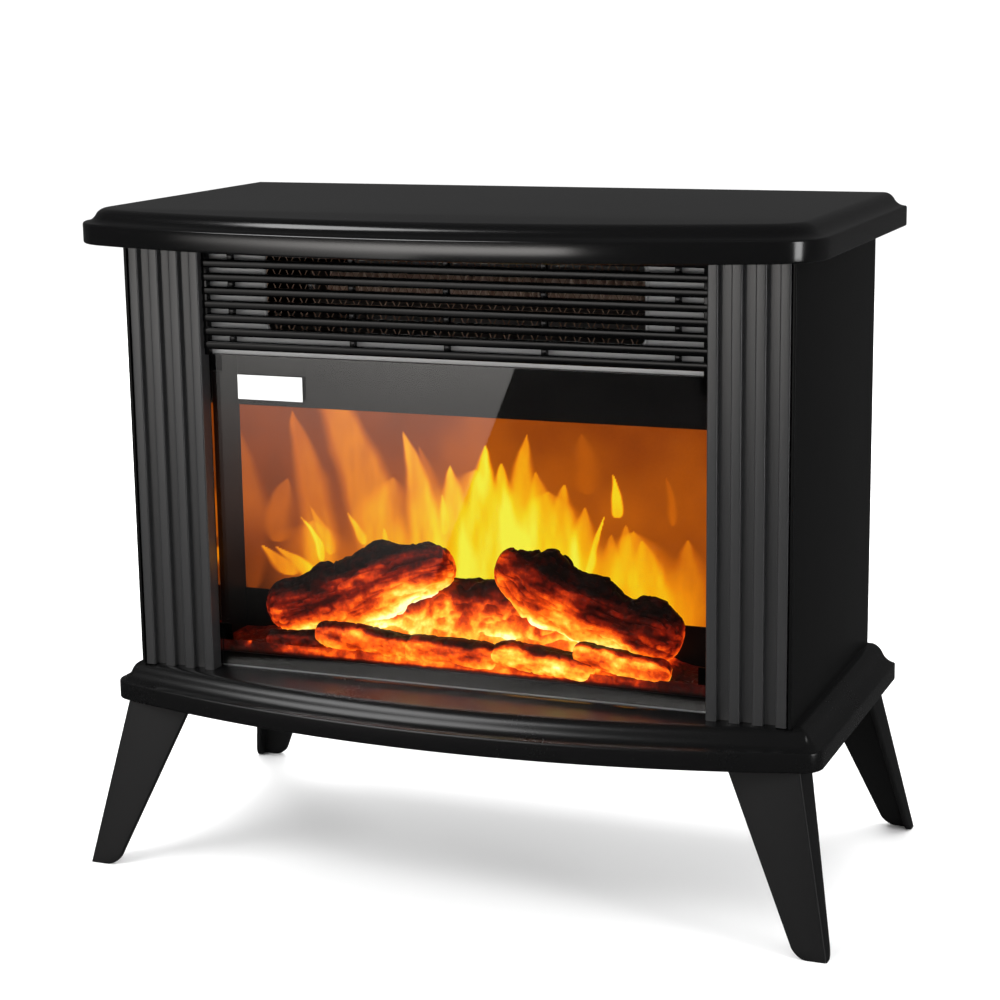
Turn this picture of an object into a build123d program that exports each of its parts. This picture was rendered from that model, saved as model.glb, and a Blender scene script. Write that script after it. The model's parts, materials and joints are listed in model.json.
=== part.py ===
from build123d import *
import math
import os

# ---------------------------------------------------------------------------
# Table-top electric fireplace. Millimetres, +Z up, X to the right, -Y to the
# front. The origin is on the floor, at the centre of the overall box.
# ---------------------------------------------------------------------------

# Overall sizes
MANTEL_WIDTH = 352.0
OVERALL_DEPTH = 218.0
LEG_HEIGHT = 79.6
BASE_THICKNESS = 18.0
BODY_HEIGHT = 205.1
MANTEL_THICKNESS = 15.7

# Sheet, moulding and glass thicknesses
SHEET = 0.8
PLATE = 1.0
MOULDED_WALL = 2.5
GLASS_THICKNESS = 3.0
SCREEN_THICKNESS = 2.0
BOARD_THICKNESS = 1.6

# Clearances
SHEET_GAP = 0.2
GLASS_GAP = 0.4
RUNNING_GAP = 0.05
MOVING_GAP = 0.3

# Mantel and plinth outlines
MANTEL_BOW_RADIUS = 490.0
MANTEL_CORNER_RADIUS = 28.0
MANTEL_INSET = 11.0
MANTEL_DROP = 6.1
BASE_SETBACK = 24.0
BASE_INSET_FROM_MANTEL = 0.75
BASE_BOW_RADIUS = 574.0
BASE_CORNER_RADIUS = 10.0
BASE_INSET = 11.5
BASE_DROP = 8.8
EDGE_ROUND = 1.0
OGEE_WAIST = 0.55
OGEE_BULGE = 0.05
BOSS_RADIUS = 4.0
BOSS_INSET = 24.0

# Body and pillars
BODY_INSET_FROM_MANTEL = 14.6
PILLAR_SETBACK = 54.6
LAND_COUNT = 4
LAND_WIDTH = 4.8
GROOVE_WIDTH = 5.8
GROOVE_DEPTH = 3.4
PILLAR_WALL = 1.4
SEAM = 0.8
SIDE_FOLD = 1.6
REAR_FLANGE = 12.0
LAND_ROUND = 0.45
PILLAR_RETURN = 11.4

# Legs
LEG_SPLAY_X = 16.6
LEG_SPLAY_Y = 15.0
LEG_INSET = 8.3
LEG_FRONT_INSET = 0.8
LEG_WALL = 2.7
LEG_TOP_WIDTH = 33.8
LEG_FOOT_WIDTH = 14.4
LEG_TOP_DEPTH = 20.0
LEG_FOOT_DEPTH = 9.0
LEG_FOOT_ROUND = 5.0
LEG_SIDE_ROUND = 3.0
LEG_FLANGE = 3.0
LEG_SCREW_SPACING = 15.0

# Firebox
GLASS_SETBACK = 7.4
FIREBOX_DEPTH = 26.0
GRILLE_HEIGHT = 53.3
LEDGE_HEIGHT = 31.4
HEADER_DROP = 28.4
SCREEN_LAP = 12.0
BED_HEIGHT = 12.0
BED_LIP = 6.4
BED_WALL = 2.0
LOG_SIDE_GAP = 1.5
LOG_HALF_HEIGHT = 16.0
LOG_LOW_RISE = 15.0
LOG_HIGH_RISE = 42.4
LOG_END_ROOM = 25.0
LOG_MEETING_X = 5.0
LOG_SPREAD = 13.0
SMALL_LOG_RADIUS = 4.2
SMALL_LOG_COUNT = 4
SMALL_LOG_GAP = 7.0
CLIP_REACH = 6.0
CLIP_TAB = 7.0
CLIP_HEIGHT = 8.0
CLIP_THICKNESS = 0.7
LABEL_WIDTH = 33.5
LABEL_HEIGHT = 11.5
LABEL_THICKNESS = 0.12
LABEL_FROM_LEFT = 14.6
LABEL_FROM_TOP = 9.0

# Grille
GRILLE_SETBACK = 3.4
GRILLE_DEPTH = 4.0
SLAT_COUNT = 7
GRILLE_RAIL = 6.02
SLAT_FOOT_GAP = 0.6
SLAT_GAP = 2.3
SLAT_ROUND = 0.6
GRILLE_END = 2.3
RIB_WIDTH = 2.6
RIB_INNER_SPACING = 46.5
RIB_OUTER_FROM_END = 14.2
GRILLE_TO_PLATE = 2.0
WINDOW_SIDE_MARGIN = 30.4
WINDOW_SILL = 12.6
WINDOW_TOP_MARGIN = 4.6
WINDOW_CORNER = 3.0
MESH_CELL_WIDTH = 6.6
MESH_CELL_HEIGHT = 6.0
MESH_STRAND = 0.9
MESH_BORDER = 2.0

# Heater
HEATER_FROM_LEFT = 52.4
HEATER_FROM_RIGHT = 24.4
HEATER_HEIGHT = 17.0
HEATER_DEPTH = 20.0
HEATER_BELOW_TOP = 11.2
HEATER_BEHIND_GUARD = 8.0
HEATER_WALL = 1.5
FIN_PITCH = 4.2
FIN_THICKNESS = 0.5
CUTOUT_RADIUS = 7.0
CUTOUT_THICKNESS = 5.0

# Blower
WHEEL_SHORTER_THAN_HEATER = 22.0
SCROLL_ABOVE_DECK = 0.3
WHEEL_END_GAP = 2.0
WHEEL_DISC = 1.5
BLADE_COUNT = 20
BLADE_THICKNESS = 0.8
BLADE_CHORD = 5.0
SCROLL_GAP = 3.0
SCROLL_WALL = 1.2
BLOWER_BEHIND_HEATER = 32.0
BLOWER_SHAFT_RADIUS = 2.0
ROTOR_RADIUS = 10.0
ROTOR_LENGTH = 16.0
STATOR_SIZE = 36.0
BEARING_RADIUS = 5.0
BEARING_LENGTH = 6.0

# Flame spindle
SPINDLE_BEHIND_SCREEN = 38.0
SPINDLE_HEIGHT = 46.0
SPINDLE_ROD_RADIUS = 2.0
PADDLE_COUNT = 16
PADDLE_WIDTH = 8.0
PADDLE_SPAN = 24.0
PADDLE_THICKNESS = 0.5
PADDLE_TURN = 50.0
SPINDLE_MOTOR_RADIUS = 16.0
SPINDLE_MOTOR_LENGTH = 13.0
SPINDLE_END_ROOM = 6.4
BRACKET_WIDTH = 24.0
BRACKET_FOOT = 12.0

# LED boards
LED_COUNT = 8
LED_SIZE = 3.0
LED_HEIGHT = 1.5
LED_END_ROOM = 22.0
LED_BOARD_WIDTH = 12.0

# Rear cover and controls
INTAKE_ROWS = 7
INTAKE_COLUMNS = 3
INTAKE_SLOT_LENGTH = 62.0
INTAKE_SLOT_HEIGHT = 3.2
INTAKE_PITCH = 5.8
INTAKE_COLUMN_PITCH = 74.0
INTAKE_BELOW_TOP = 10.0
CONTROL_FROM_SIDE = 65.4
CONTROL_BELOW_DECK = 59.8
CONTROL_WIDTH = 92.0
CONTROL_HEIGHT = 46.0
CONTROL_THICKNESS = 2.0
CONTROL_FLANGE = 6.0
KNOB_OFFSET_X = -22.0
KNOB_RADIUS = 13.0
KNOB_HEIGHT = 11.0
KNOB_SKIRT = 1.5
KNOB_SKIRT_HEIGHT = 2.0
KNOB_FLUTES = 18
KNOB_FLUTE_RADIUS = 1.1
THERMOSTAT_SHAFT_RADIUS = 3.0
THERMOSTAT_FLAT = 1.0
THERMOSTAT_SIZE = 26.0
THERMOSTAT_DEPTH = 16.0
SWITCH_WIDTH = 14.0
SWITCH_HEIGHT = 20.0
SWITCH_DEPTH = 14.0
SWITCH_BEZEL = 1.2
SWITCH_LIP = 2.2
SWITCH_WALL = 1.6
SWITCH_SPACING = 20.0
SWITCH_OFFSET_X = 8.0
ROCKER_TILT = 8.0
ROCKER_RADIUS = 8.0
ROCKER_RISE = 3.0
ROCKER_SINK = 4.0
ROCKER_DISH = 0.8
TRUNNION_RADIUS = 1.2
TRUNNION_LENGTH = 1.2

# Cable gland, terminal block, boards, tip-over switch
GLAND_FROM_SIDE = 24.0
GLAND_ABOVE_BODY = 22.0
GLAND_BORE_RADIUS = 3.6
GLAND_BARREL_RADIUS = 6.0
GLAND_FLANGE_RADIUS = 9.0
GLAND_FLANGE_HEIGHT = 4.0
GLAND_NUT_HEIGHT = 5.0
TERMINAL_FROM_SIDE = 42.0
TERMINAL_FROM_BACK = 25.0
TERMINAL_LENGTH = 34.0
TERMINAL_WIDTH = 17.0
TERMINAL_HEIGHT = 13.0
DRIVER_FROM_SIDE = 121.4
DRIVER_FROM_BACK = 24.0
DRIVER_LENGTH = 48.0
CAPACITOR_RADIUS = 5.0
CAPACITOR_HEIGHT = 12.0
TRANSFORMER_HEIGHT = 10.0
DRIVER_WIDTH = 28.0
STANDOFF_HEIGHT = 5.0
STANDOFF_RADIUS = 2.5
TILT_FROM_SIDE = 28.0
TILT_FROM_BACK = 36.0
TILT_PIN_BELOW_TOP = 5.0
TILT_ARM_HALF = 1.6
TILT_WIDTH = 30.0
TILT_DEPTH = 16.0
TILT_HEIGHT = 34.0
TILT_WALL = 1.6
TILT_PIN_RADIUS = 1.2
TILT_BOB_RADIUS = 5.0
TILT_BOB_LENGTH = 8.0
TILT_ARM = 16.0
WIRE_RADIUS = 1.2
WIRE_BEND = 6.0
WIRE_RISE = 20.0
WIRE_SPACING = 10.0

# Screws
SCREW_RADIUS = 1.5
SCREW_HEAD_RADIUS = 3.0
SCREW_HEAD_HEIGHT = 2.0
SCREW_LENGTH = 9.0
COVER_SCREW_LENGTH = 6.0
COVER_SCREW_INSET = 6.0

# ---------------------------------------------------------------------------
# Levels and planes worked out from the sizes above
# ---------------------------------------------------------------------------

FRONT_Y = -OVERALL_DEPTH / 2
REAR_FOOT_Y = OVERALL_DEPTH / 2
BACK_Y = REAR_FOOT_Y - LEG_SPLAY_Y
Z_BASE = LEG_HEIGHT
Z_BODY = Z_BASE + BASE_THICKNESS
Z_MANTEL = Z_BODY + BODY_HEIGHT
Z_TOP = Z_MANTEL + MANTEL_THICKNESS
MANTEL_HALF = MANTEL_WIDTH / 2
BASE_HALF = MANTEL_HALF - BASE_INSET_FROM_MANTEL
BASE_FRONT_Y = FRONT_Y + BASE_SETBACK
BODY_HALF = MANTEL_HALF - BODY_INSET_FROM_MANTEL
BODY_INNER = BODY_HALF - SHEET
PILLAR_FRONT_Y = FRONT_Y + PILLAR_SETBACK
PILLAR_WIDTH = LAND_COUNT * LAND_WIDTH + (LAND_COUNT - 1) * GROOVE_WIDTH
PILLAR_OUTER = BODY_HALF - SIDE_FOLD - SEAM
PILLAR_INNER = PILLAR_OUTER - PILLAR_WIDTH
REAR_INNER_Y = BACK_Y - SHEET
Z_FLOOR = Z_BODY + PLATE
Z_CEILING = Z_MANTEL - SHEET
GLASS_FRONT_Y = PILLAR_FRONT_Y + GLASS_SETBACK
GLASS_BACK_Y = GLASS_FRONT_Y + GLASS_THICKNESS
FIREBOX_FRONT_Y = PILLAR_FRONT_Y + PILLAR_RETURN
FIREBOX_BACK_Y = FIREBOX_FRONT_Y + FIREBOX_DEPTH
Z_DECK = Z_MANTEL - GRILLE_HEIGHT
Z_DECK_TOP = Z_DECK + SHEET
GRILLE_FRONT_Y = PILLAR_FRONT_Y + GRILLE_SETBACK
GRILLE_BACK_Y = GRILLE_FRONT_Y + GRILLE_DEPTH
GRILLE_PLATE_Y = GRILLE_BACK_Y + GRILLE_TO_PLATE
GUARD_Y = GRILLE_PLATE_Y + SHEET
OPENING_HALF = PILLAR_INNER - SHEET_GAP


# ---------------------------------------------------------------------------
# Helpers
# ---------------------------------------------------------------------------

def block(x0, x1, y0, y1, z0, z1):
    """A box given by its two corners."""
    centre = ((x0 + x1) / 2, (y0 + y1) / 2, (z0 + z1) / 2)
    return Pos(*centre) * Box(abs(x1 - x0), abs(y1 - y0), abs(z1 - z0))


def rod_x(radius, x0, x1, y, z):
    """A cylinder along X."""
    return Pos((x0 + x1) / 2, y, z) * Rot(0, 90, 0) * Cylinder(radius, abs(x1 - x0))


def rod_y(radius, y0, y1, x, z):
    """A cylinder along Y."""
    return Pos(x, (y0 + y1) / 2, z) * Rot(90, 0, 0) * Cylinder(radius, abs(y1 - y0))


def rod_z(radius, z0, z1, x, y):
    """A cylinder along Z."""
    return Pos(x, y, (z0 + z1) / 2) * Cylinder(radius, abs(z1 - z0))


def group(solids):
    """Separate solids that share one node."""
    return Compound(children=list(solids))


def save(node, shape):
    """Write one node."""
    export_step(shape, f"parts/{node}.step")


def bow_points(half_width, front_y, bow_radius, corner_radius):
    """Side tangent point, middle of the corner arc and bow tangent point of the right front corner."""
    centre_x = half_width - corner_radius
    bow_centre_y = front_y + bow_radius
    reach = bow_radius - corner_radius
    centre_y = bow_centre_y - math.sqrt(reach ** 2 - centre_x ** 2)
    bow_angle = math.atan2(centre_y - bow_centre_y, centre_x)
    mid_angle = bow_angle / 2
    side = (half_width, centre_y)
    middle = (centre_x + corner_radius * math.cos(mid_angle), centre_y + corner_radius * math.sin(mid_angle))
    bow = (centre_x + corner_radius * math.cos(bow_angle), centre_y + corner_radius * math.sin(bow_angle))
    return side, middle, bow


def bow_path(half_width, front_y, bow_radius, corner_radius, back_y):
    """Right side, rounded corner, bowed front, rounded corner and left side, as one smooth path."""
    side, middle, bow = bow_points(half_width, front_y, bow_radius, corner_radius)
    right_side = Line((half_width, back_y), side)
    right_corner = ThreePointArc(side, middle, bow)
    front = ThreePointArc(bow, (0, front_y), (-bow[0], bow[1]))
    left_corner = ThreePointArc((-bow[0], bow[1]), (-middle[0], middle[1]), (-side[0], side[1]))
    left_side = Line((-side[0], side[1]), (-half_width, back_y))
    return [right_side, right_corner, front, left_corner, left_side]


def bow_prism(inset, half_width, front_y, bow_radius, corner_radius, back_y, z0, z1):
    """The bowed outline, drawn in by inset on every side, between two levels."""
    edges = bow_path(half_width - inset, front_y + inset, bow_radius - inset,
                     max(corner_radius - inset, EDGE_ROUND), back_y - inset)
    edges.append(Line((-(half_width - inset), back_y - inset), (half_width - inset, back_y - inset)))
    return Pos(0, 0, z0) * extrude(make_face(edges), z1 - z0)


def ogee_cutter(half_width, front_y, bow_radius, corner_radius, back_y, z_top, inset, drop):
    """What the edge moulding takes away: a round, a cove and a round, carried along front and sides."""
    overrun = 2.0
    outline = bow_path(half_width, front_y, bow_radius, corner_radius, back_y + overrun)
    path = Pos(0, 0, z_top) * Wire(outline)
    start = (half_width, back_y + overrun, z_top)
    profile_plane = Plane(origin=start, x_dir=(1, 0, 0), z_dir=(0, -1, 0))
    shoulder = (-inset, 0)
    waist = (-inset * OGEE_WAIST, -drop / 2)
    toe = (-EDGE_ROUND, -drop)
    foot = (0, -drop - EDGE_ROUND)
    bulge = inset * OGEE_BULGE
    convex_x = (shoulder[0] + waist[0]) / 2 + bulge
    cove_x = (waist[0] + toe[0]) / 2 - bulge
    convex = ThreePointArc(shoulder, (convex_x, -drop / 4 + bulge), waist)
    cove = ThreePointArc(waist, (cove_x, -drop * 3 / 4 - bulge), toe)
    nose_side = EDGE_ROUND * (1 - math.sqrt(0.5))
    nose = ThreePointArc(toe, (-nose_side, -drop - nose_side), foot)
    out = Polyline(foot, (overrun, -drop - EDGE_ROUND), (overrun, overrun), (-inset, overrun), shoulder)
    profile = profile_plane * make_face([convex, cove, nose, out])
    return sweep(profile, path=path)


def screw_z(x, y, head_z, direction, length):
    """A pan-head screw along Z. Its head's seat is at head_z, and its shank runs in direction."""
    shank = rod_z(SCREW_RADIUS, head_z, head_z + direction * length, x, y)
    head = rod_z(SCREW_HEAD_RADIUS, head_z - direction * SCREW_HEAD_HEIGHT, head_z, x, y)
    return shank + head


def screw_y(x, z, head_y, direction, length):
    """A pan-head screw along Y."""
    shank = rod_y(SCREW_RADIUS, head_y, head_y + direction * length, x, z)
    head = rod_y(SCREW_HEAD_RADIUS, head_y - direction * SCREW_HEAD_HEIGHT, head_y, x, z)
    return shank + head


# ---------------------------------------------------------------------------
# Mantel and plinth
# ---------------------------------------------------------------------------

def moulded_board(half_width, front_y, bow_radius, corner_radius, z0, z1, inset, drop):
    """A hollow moulded board with an ogee edge, open below."""
    outline = (half_width, front_y, bow_radius, corner_radius, BACK_Y)
    board = bow_prism(0, *outline, z0, z1)
    board -= ogee_cutter(*outline, z1, inset, drop)
    rim_pocket_top = z1 - drop - EDGE_ROUND - MOULDED_WALL
    board -= bow_prism(MOULDED_WALL, *outline, z0, rim_pocket_top)
    board -= bow_prism(inset + MOULDED_WALL, *outline, rim_pocket_top, z1 - MOULDED_WALL)
    return board


def mantel_boss_places():
    """Where the mantel is screwed down to the top plate."""
    x = BODY_HALF - BOSS_INSET
    front = FIREBOX_FRONT_Y + BOSS_INSET
    back = BACK_Y - BOSS_INSET
    return [(-x, front), (x, front), (-x, back), (x, back)]


def make_mantel():
    board = moulded_board(MANTEL_HALF, FRONT_Y, MANTEL_BOW_RADIUS, MANTEL_CORNER_RADIUS,
                          Z_MANTEL, Z_TOP, MANTEL_INSET, MANTEL_DROP)
    for x, y in mantel_boss_places():
        board += rod_z(BOSS_RADIUS, Z_MANTEL, Z_TOP - MOULDED_WALL, x, y)
        board -= rod_z(SCREW_RADIUS, Z_MANTEL, Z_MANTEL + SCREW_LENGTH, x, y)
    return board


def leg_corner(side_x, side_y):
    """Outer corner of a leg where it meets the plinth."""
    x = BASE_HALF - LEG_INSET
    side, _, _ = bow_points(BASE_HALF, BASE_FRONT_Y, BASE_BOW_RADIUS, BASE_CORNER_RADIUS)
    bow_centre_y = BASE_FRONT_Y + BASE_BOW_RADIUS
    bow_y = bow_centre_y - math.sqrt(BASE_BOW_RADIUS ** 2 - x ** 2)
    y = BACK_Y if side_y > 0 else bow_y + LEG_FRONT_INSET
    return side_x * x, y


def leg_screw_places(side_x, side_y):
    """The two screws of one leg, in line across the leg's flange."""
    corner_x, corner_y = leg_corner(side_x, side_y)
    y = corner_y - side_y * LEG_TOP_DEPTH / 2
    centre_x = corner_x - side_x * LEG_TOP_WIDTH / 2
    return [(centre_x - LEG_SCREW_SPACING / 2, y), (centre_x + LEG_SCREW_SPACING / 2, y)]


LEG_SIDES = [("front_left", -1, -1), ("front_right", 1, -1), ("rear_left", -1, 1), ("rear_right", 1, 1)]


def make_plinth():
    plinth = moulded_board(BASE_HALF, BASE_FRONT_Y, BASE_BOW_RADIUS, BASE_CORNER_RADIUS,
                           Z_BASE, Z_BODY, BASE_INSET, BASE_DROP)
    boss_bottom = Z_BASE + PLATE
    for _, side_x, side_y in LEG_SIDES:
        for x, y in leg_screw_places(side_x, side_y):
            plinth += rod_z(BOSS_RADIUS, boss_bottom, Z_BODY - MOULDED_WALL, x, y)
            plinth -= rod_z(SCREW_RADIUS, boss_bottom, Z_BASE - LEG_FLANGE + SCREW_LENGTH, x, y)
    return plinth


def make_bottom_cover():
    """The sheet that closes the plinth from below."""
    outline = (BASE_HALF, BASE_FRONT_Y, BASE_BOW_RADIUS, BASE_CORNER_RADIUS, BACK_Y)
    cover = bow_prism(MOULDED_WALL + SHEET_GAP, *outline, Z_BASE, Z_BASE + PLATE)
    for _, side_x, side_y in LEG_SIDES:
        for x, y in leg_screw_places(side_x, side_y):
            cover -= rod_z(SCREW_RADIUS, Z_BASE, Z_BASE + PLATE, x, y)
    return cover


# ---------------------------------------------------------------------------
# Legs
# ---------------------------------------------------------------------------

def l_section(corner_x, corner_y, side_x, side_y, width, depth):
    """An L with its outer corner at a point, and its arms pointing inwards."""
    w, d, t = side_x * width, side_y * depth, LEG_WALL
    tx, ty = side_x * t, side_y * t
    points = [(0, 0), (-w, 0), (-w, -ty), (-tx, -ty), (-tx, -d), (0, -d)]
    return make_face(Polyline([(corner_x + x, corner_y + y) for x, y in points], close=True))


def make_leg(side_x, side_y):
    top_x, top_y = leg_corner(side_x, side_y)
    foot_x, foot_y = top_x + side_x * LEG_SPLAY_X, top_y + side_y * LEG_SPLAY_Y
    foot = l_section(foot_x, foot_y, side_x, side_y, LEG_FOOT_WIDTH, LEG_FOOT_DEPTH)
    top = Pos(0, 0, Z_BASE) * l_section(top_x, top_y, side_x, side_y, LEG_TOP_WIDTH, LEG_TOP_DEPTH)
    leg = loft([foot, top], ruled=True)
    bottom_edges = leg.faces().sort_by(Axis.Z)[0].edges()
    front_tip = bottom_edges.filter_by(Axis.Y).sort_by(Axis.X)[0 if side_x > 0 else -1]
    leg = fillet(front_tip, LEG_FOOT_ROUND)
    side_tip = leg.faces().sort_by(Axis.Z)[0].edges().filter_by(Axis.X)
    side_tip = side_tip.sort_by(Axis.Y)[0 if side_y > 0 else -1]
    leg = fillet(side_tip, LEG_SIDE_ROUND)
    flange = block(top_x, top_x - side_x * LEG_TOP_WIDTH, top_y, top_y - side_y * LEG_TOP_DEPTH,
                   Z_BASE - LEG_FLANGE, Z_BASE)
    leg += flange
    for x, y in leg_screw_places(side_x, side_y):
        leg -= rod_z(SCREW_RADIUS, Z_BASE - LEG_FLANGE, Z_BASE, x, y)
    return leg


# ---------------------------------------------------------------------------
# Body sheets
# ---------------------------------------------------------------------------

def cover_screw_places():
    """Rear cover screws, down both edges."""
    x = BODY_HALF - COVER_SCREW_INSET
    levels = [Z_BODY + BODY_HEIGHT * share for share in (0.08, 0.5, 0.92)]
    return [(side * x, z) for side in (-1, 1) for z in levels]


def make_side_panel(side):
    """A side sheet with a narrow fold at the front and a flange at the back."""
    panel = block(side * BODY_INNER, side * BODY_HALF, PILLAR_FRONT_Y, REAR_INNER_Y, Z_BODY, Z_MANTEL)
    panel += block(side * (BODY_HALF - SIDE_FOLD), side * BODY_HALF,
                   PILLAR_FRONT_Y, PILLAR_FRONT_Y + SHEET, Z_BODY, Z_MANTEL)
    panel += block(side * (BODY_HALF - REAR_FLANGE), side * BODY_HALF,
                   REAR_INNER_Y - SHEET, REAR_INNER_Y, Z_FLOOR + SHEET_GAP, Z_CEILING - SHEET_GAP)
    for x, z in cover_screw_places():
        if x * side > 0:
            panel -= rod_y(SCREW_RADIUS, REAR_INNER_Y - SHEET, REAR_INNER_Y, x, z)
    return panel


def inner_sheet(z0, z1, front_y):
    """A level sheet across the inside of the body."""
    half = BODY_INNER - SHEET_GAP
    return block(-half, half, front_y + SHEET_GAP, REAR_INNER_Y - SHEET - SHEET_GAP, z0, z1)


def make_top_plate():
    plate = inner_sheet(Z_CEILING, Z_MANTEL, FIREBOX_FRONT_Y)
    for x, y in mantel_boss_places():
        plate -= rod_z(SCREW_RADIUS, Z_CEILING, Z_MANTEL, x, y)
    return plate


def control_centre():
    return BODY_HALF - CONTROL_FROM_SIDE, Z_DECK - CONTROL_BELOW_DECK


def gland_centre():
    return -(BODY_HALF - GLAND_FROM_SIDE), Z_BODY + GLAND_ABOVE_BODY


def make_rear_cover():
    cover = block(-BODY_HALF, BODY_HALF, REAR_INNER_Y, BACK_Y, Z_BODY, Z_MANTEL)
    slot = extrude(SlotOverall(INTAKE_SLOT_LENGTH, INTAKE_SLOT_HEIGHT), 2 * SHEET, both=True)
    slot = Rot(90, 0, 0) * slot
    for row in range(INTAKE_ROWS):
        z = Z_MANTEL - INTAKE_BELOW_TOP - row * INTAKE_PITCH
        for column in range(INTAKE_COLUMNS):
            x = (column - (INTAKE_COLUMNS - 1) / 2) * INTAKE_COLUMN_PITCH
            cover -= Pos(x, REAR_INNER_Y + SHEET / 2, z) * slot
    x, z = control_centre()
    half_width = CONTROL_WIDTH / 2 - CONTROL_FLANGE
    half_height = CONTROL_HEIGHT / 2 - CONTROL_FLANGE
    cover -= block(x - half_width, x + half_width, REAR_INNER_Y, BACK_Y, z - half_height, z + half_height)
    for screw_x, screw_z_place in control_screw_places():
        cover -= rod_y(SCREW_RADIUS, REAR_INNER_Y, BACK_Y, screw_x, screw_z_place)
    x, z = gland_centre()
    cover -= rod_y(GLAND_BARREL_RADIUS, REAR_INNER_Y, BACK_Y, x, z)
    for x, z in cover_screw_places():
        cover -= rod_y(SCREW_RADIUS, REAR_INNER_Y, BACK_Y, x, z)
    return cover


# ---------------------------------------------------------------------------
# Pillars
# ---------------------------------------------------------------------------

def make_pillar(side):
    """A corrugated profile: flat lands and square grooves, with a return at each side."""
    t = PILLAR_WALL
    y0 = PILLAR_FRONT_Y
    pitch = LAND_WIDTH + GROOVE_WIDTH
    profile = Sketch()
    for index in range(LAND_COUNT):
        x0 = PILLAR_INNER + index * pitch
        profile += Pos(x0 + LAND_WIDTH / 2, y0 + t / 2) * Rectangle(LAND_WIDTH, t)
    for index in range(LAND_COUNT - 1):
        x0 = PILLAR_INNER + LAND_WIDTH + index * pitch
        wall_y = y0 + (GROOVE_DEPTH + t) / 2
        profile += Pos(x0 - t / 2, wall_y) * Rectangle(t, GROOVE_DEPTH + t)
        profile += Pos(x0 + GROOVE_WIDTH + t / 2, wall_y) * Rectangle(t, GROOVE_DEPTH + t)
        profile += Pos(x0 + GROOVE_WIDTH / 2, y0 + GROOVE_DEPTH + t / 2) * Rectangle(GROOVE_WIDTH, t)
    profile += Pos(PILLAR_INNER + t / 2, y0 + PILLAR_RETURN / 2) * Rectangle(t, PILLAR_RETURN)
    profile += Pos(PILLAR_OUTER - t / 2, y0 + PILLAR_RETURN / 2) * Rectangle(t, PILLAR_RETURN)
    front_corners = [v for v in profile.vertices() if abs(v.Y - y0) < 0.01]
    profile = fillet(front_corners, LAND_ROUND)
    pillar = Pos(0, 0, Z_BODY) * extrude(profile, BODY_HEIGHT)
    return pillar if side > 0 else mirror(pillar, about=Plane.YZ)


# ---------------------------------------------------------------------------
# Grille, window plate and guard
# ---------------------------------------------------------------------------

def gap_level(index):
    """Middle of a gap between slats. Gap 0 is just above the glass."""
    pitch = (GRILLE_HEIGHT - GRILLE_RAIL - SLAT_GAP - SLAT_FOOT_GAP) / SLAT_COUNT
    return Z_DECK + SLAT_GAP / 2 + SLAT_FOOT_GAP + index * pitch


def make_grille():
    top = Z_CEILING - SHEET_GAP
    bottom = Z_DECK + SHEET_GAP
    end = block(OPENING_HALF - GRILLE_END, OPENING_HALF, GRILLE_FRONT_Y, GRILLE_BACK_Y, bottom, top)
    grille = end + mirror(end, about=Plane.YZ)
    for index in range(SLAT_COUNT):
        z0 = gap_level(index) + SLAT_GAP / 2
        z1 = gap_level(index + 1) - SLAT_GAP / 2
        slat = block(-OPENING_HALF, OPENING_HALF, GRILLE_FRONT_Y, GRILLE_BACK_Y, z0, z1)
        front_edges = slat.edges().filter_by(Axis.X).group_by(Axis.Y)[0]
        grille += fillet(front_edges, SLAT_ROUND)
    z0 = gap_level(SLAT_COUNT) + SLAT_GAP / 2
    grille += block(-OPENING_HALF, OPENING_HALF, GRILLE_FRONT_Y, GRILLE_BACK_Y, z0, top)
    rib_outer = OPENING_HALF - RIB_OUTER_FROM_END
    for index in range(1, SLAT_COUNT + 1, 2):
        z = gap_level(index)
        for x in (-rib_outer, -RIB_INNER_SPACING, 0, RIB_INNER_SPACING, rib_outer):
            grille += block(x - RIB_WIDTH / 2, x + RIB_WIDTH / 2,
                            GRILLE_FRONT_Y + SLAT_ROUND, GRILLE_BACK_Y, z - SLAT_GAP / 2, z + SLAT_GAP / 2)
    return grille


def window_box():
    """Low and high corners of the air window, in X and Z."""
    half = OPENING_HALF - WINDOW_SIDE_MARGIN
    return -half, half, Z_DECK + WINDOW_SILL, Z_CEILING - WINDOW_TOP_MARGIN


def rounded_panel(x0, x1, z0, z1, y0, y1, radius):
    """A panel facing the front, with rounded corners."""
    face = RectangleRounded(x1 - x0, z1 - z0, radius)
    panel = Rot(90, 0, 0) * extrude(face, (y1 - y0) / 2, both=True)
    return Pos((x0 + x1) / 2, (y0 + y1) / 2, (z0 + z1) / 2) * panel


def make_grille_plate():
    plate = block(-OPENING_HALF, OPENING_HALF, GRILLE_PLATE_Y, GUARD_Y,
                  Z_DECK + SHEET_GAP, Z_CEILING - SHEET_GAP)
    x0, x1, z0, z1 = window_box()
    return plate - rounded_panel(x0, x1, z0, z1, GRILLE_PLATE_Y, GUARD_Y, WINDOW_CORNER)


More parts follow.
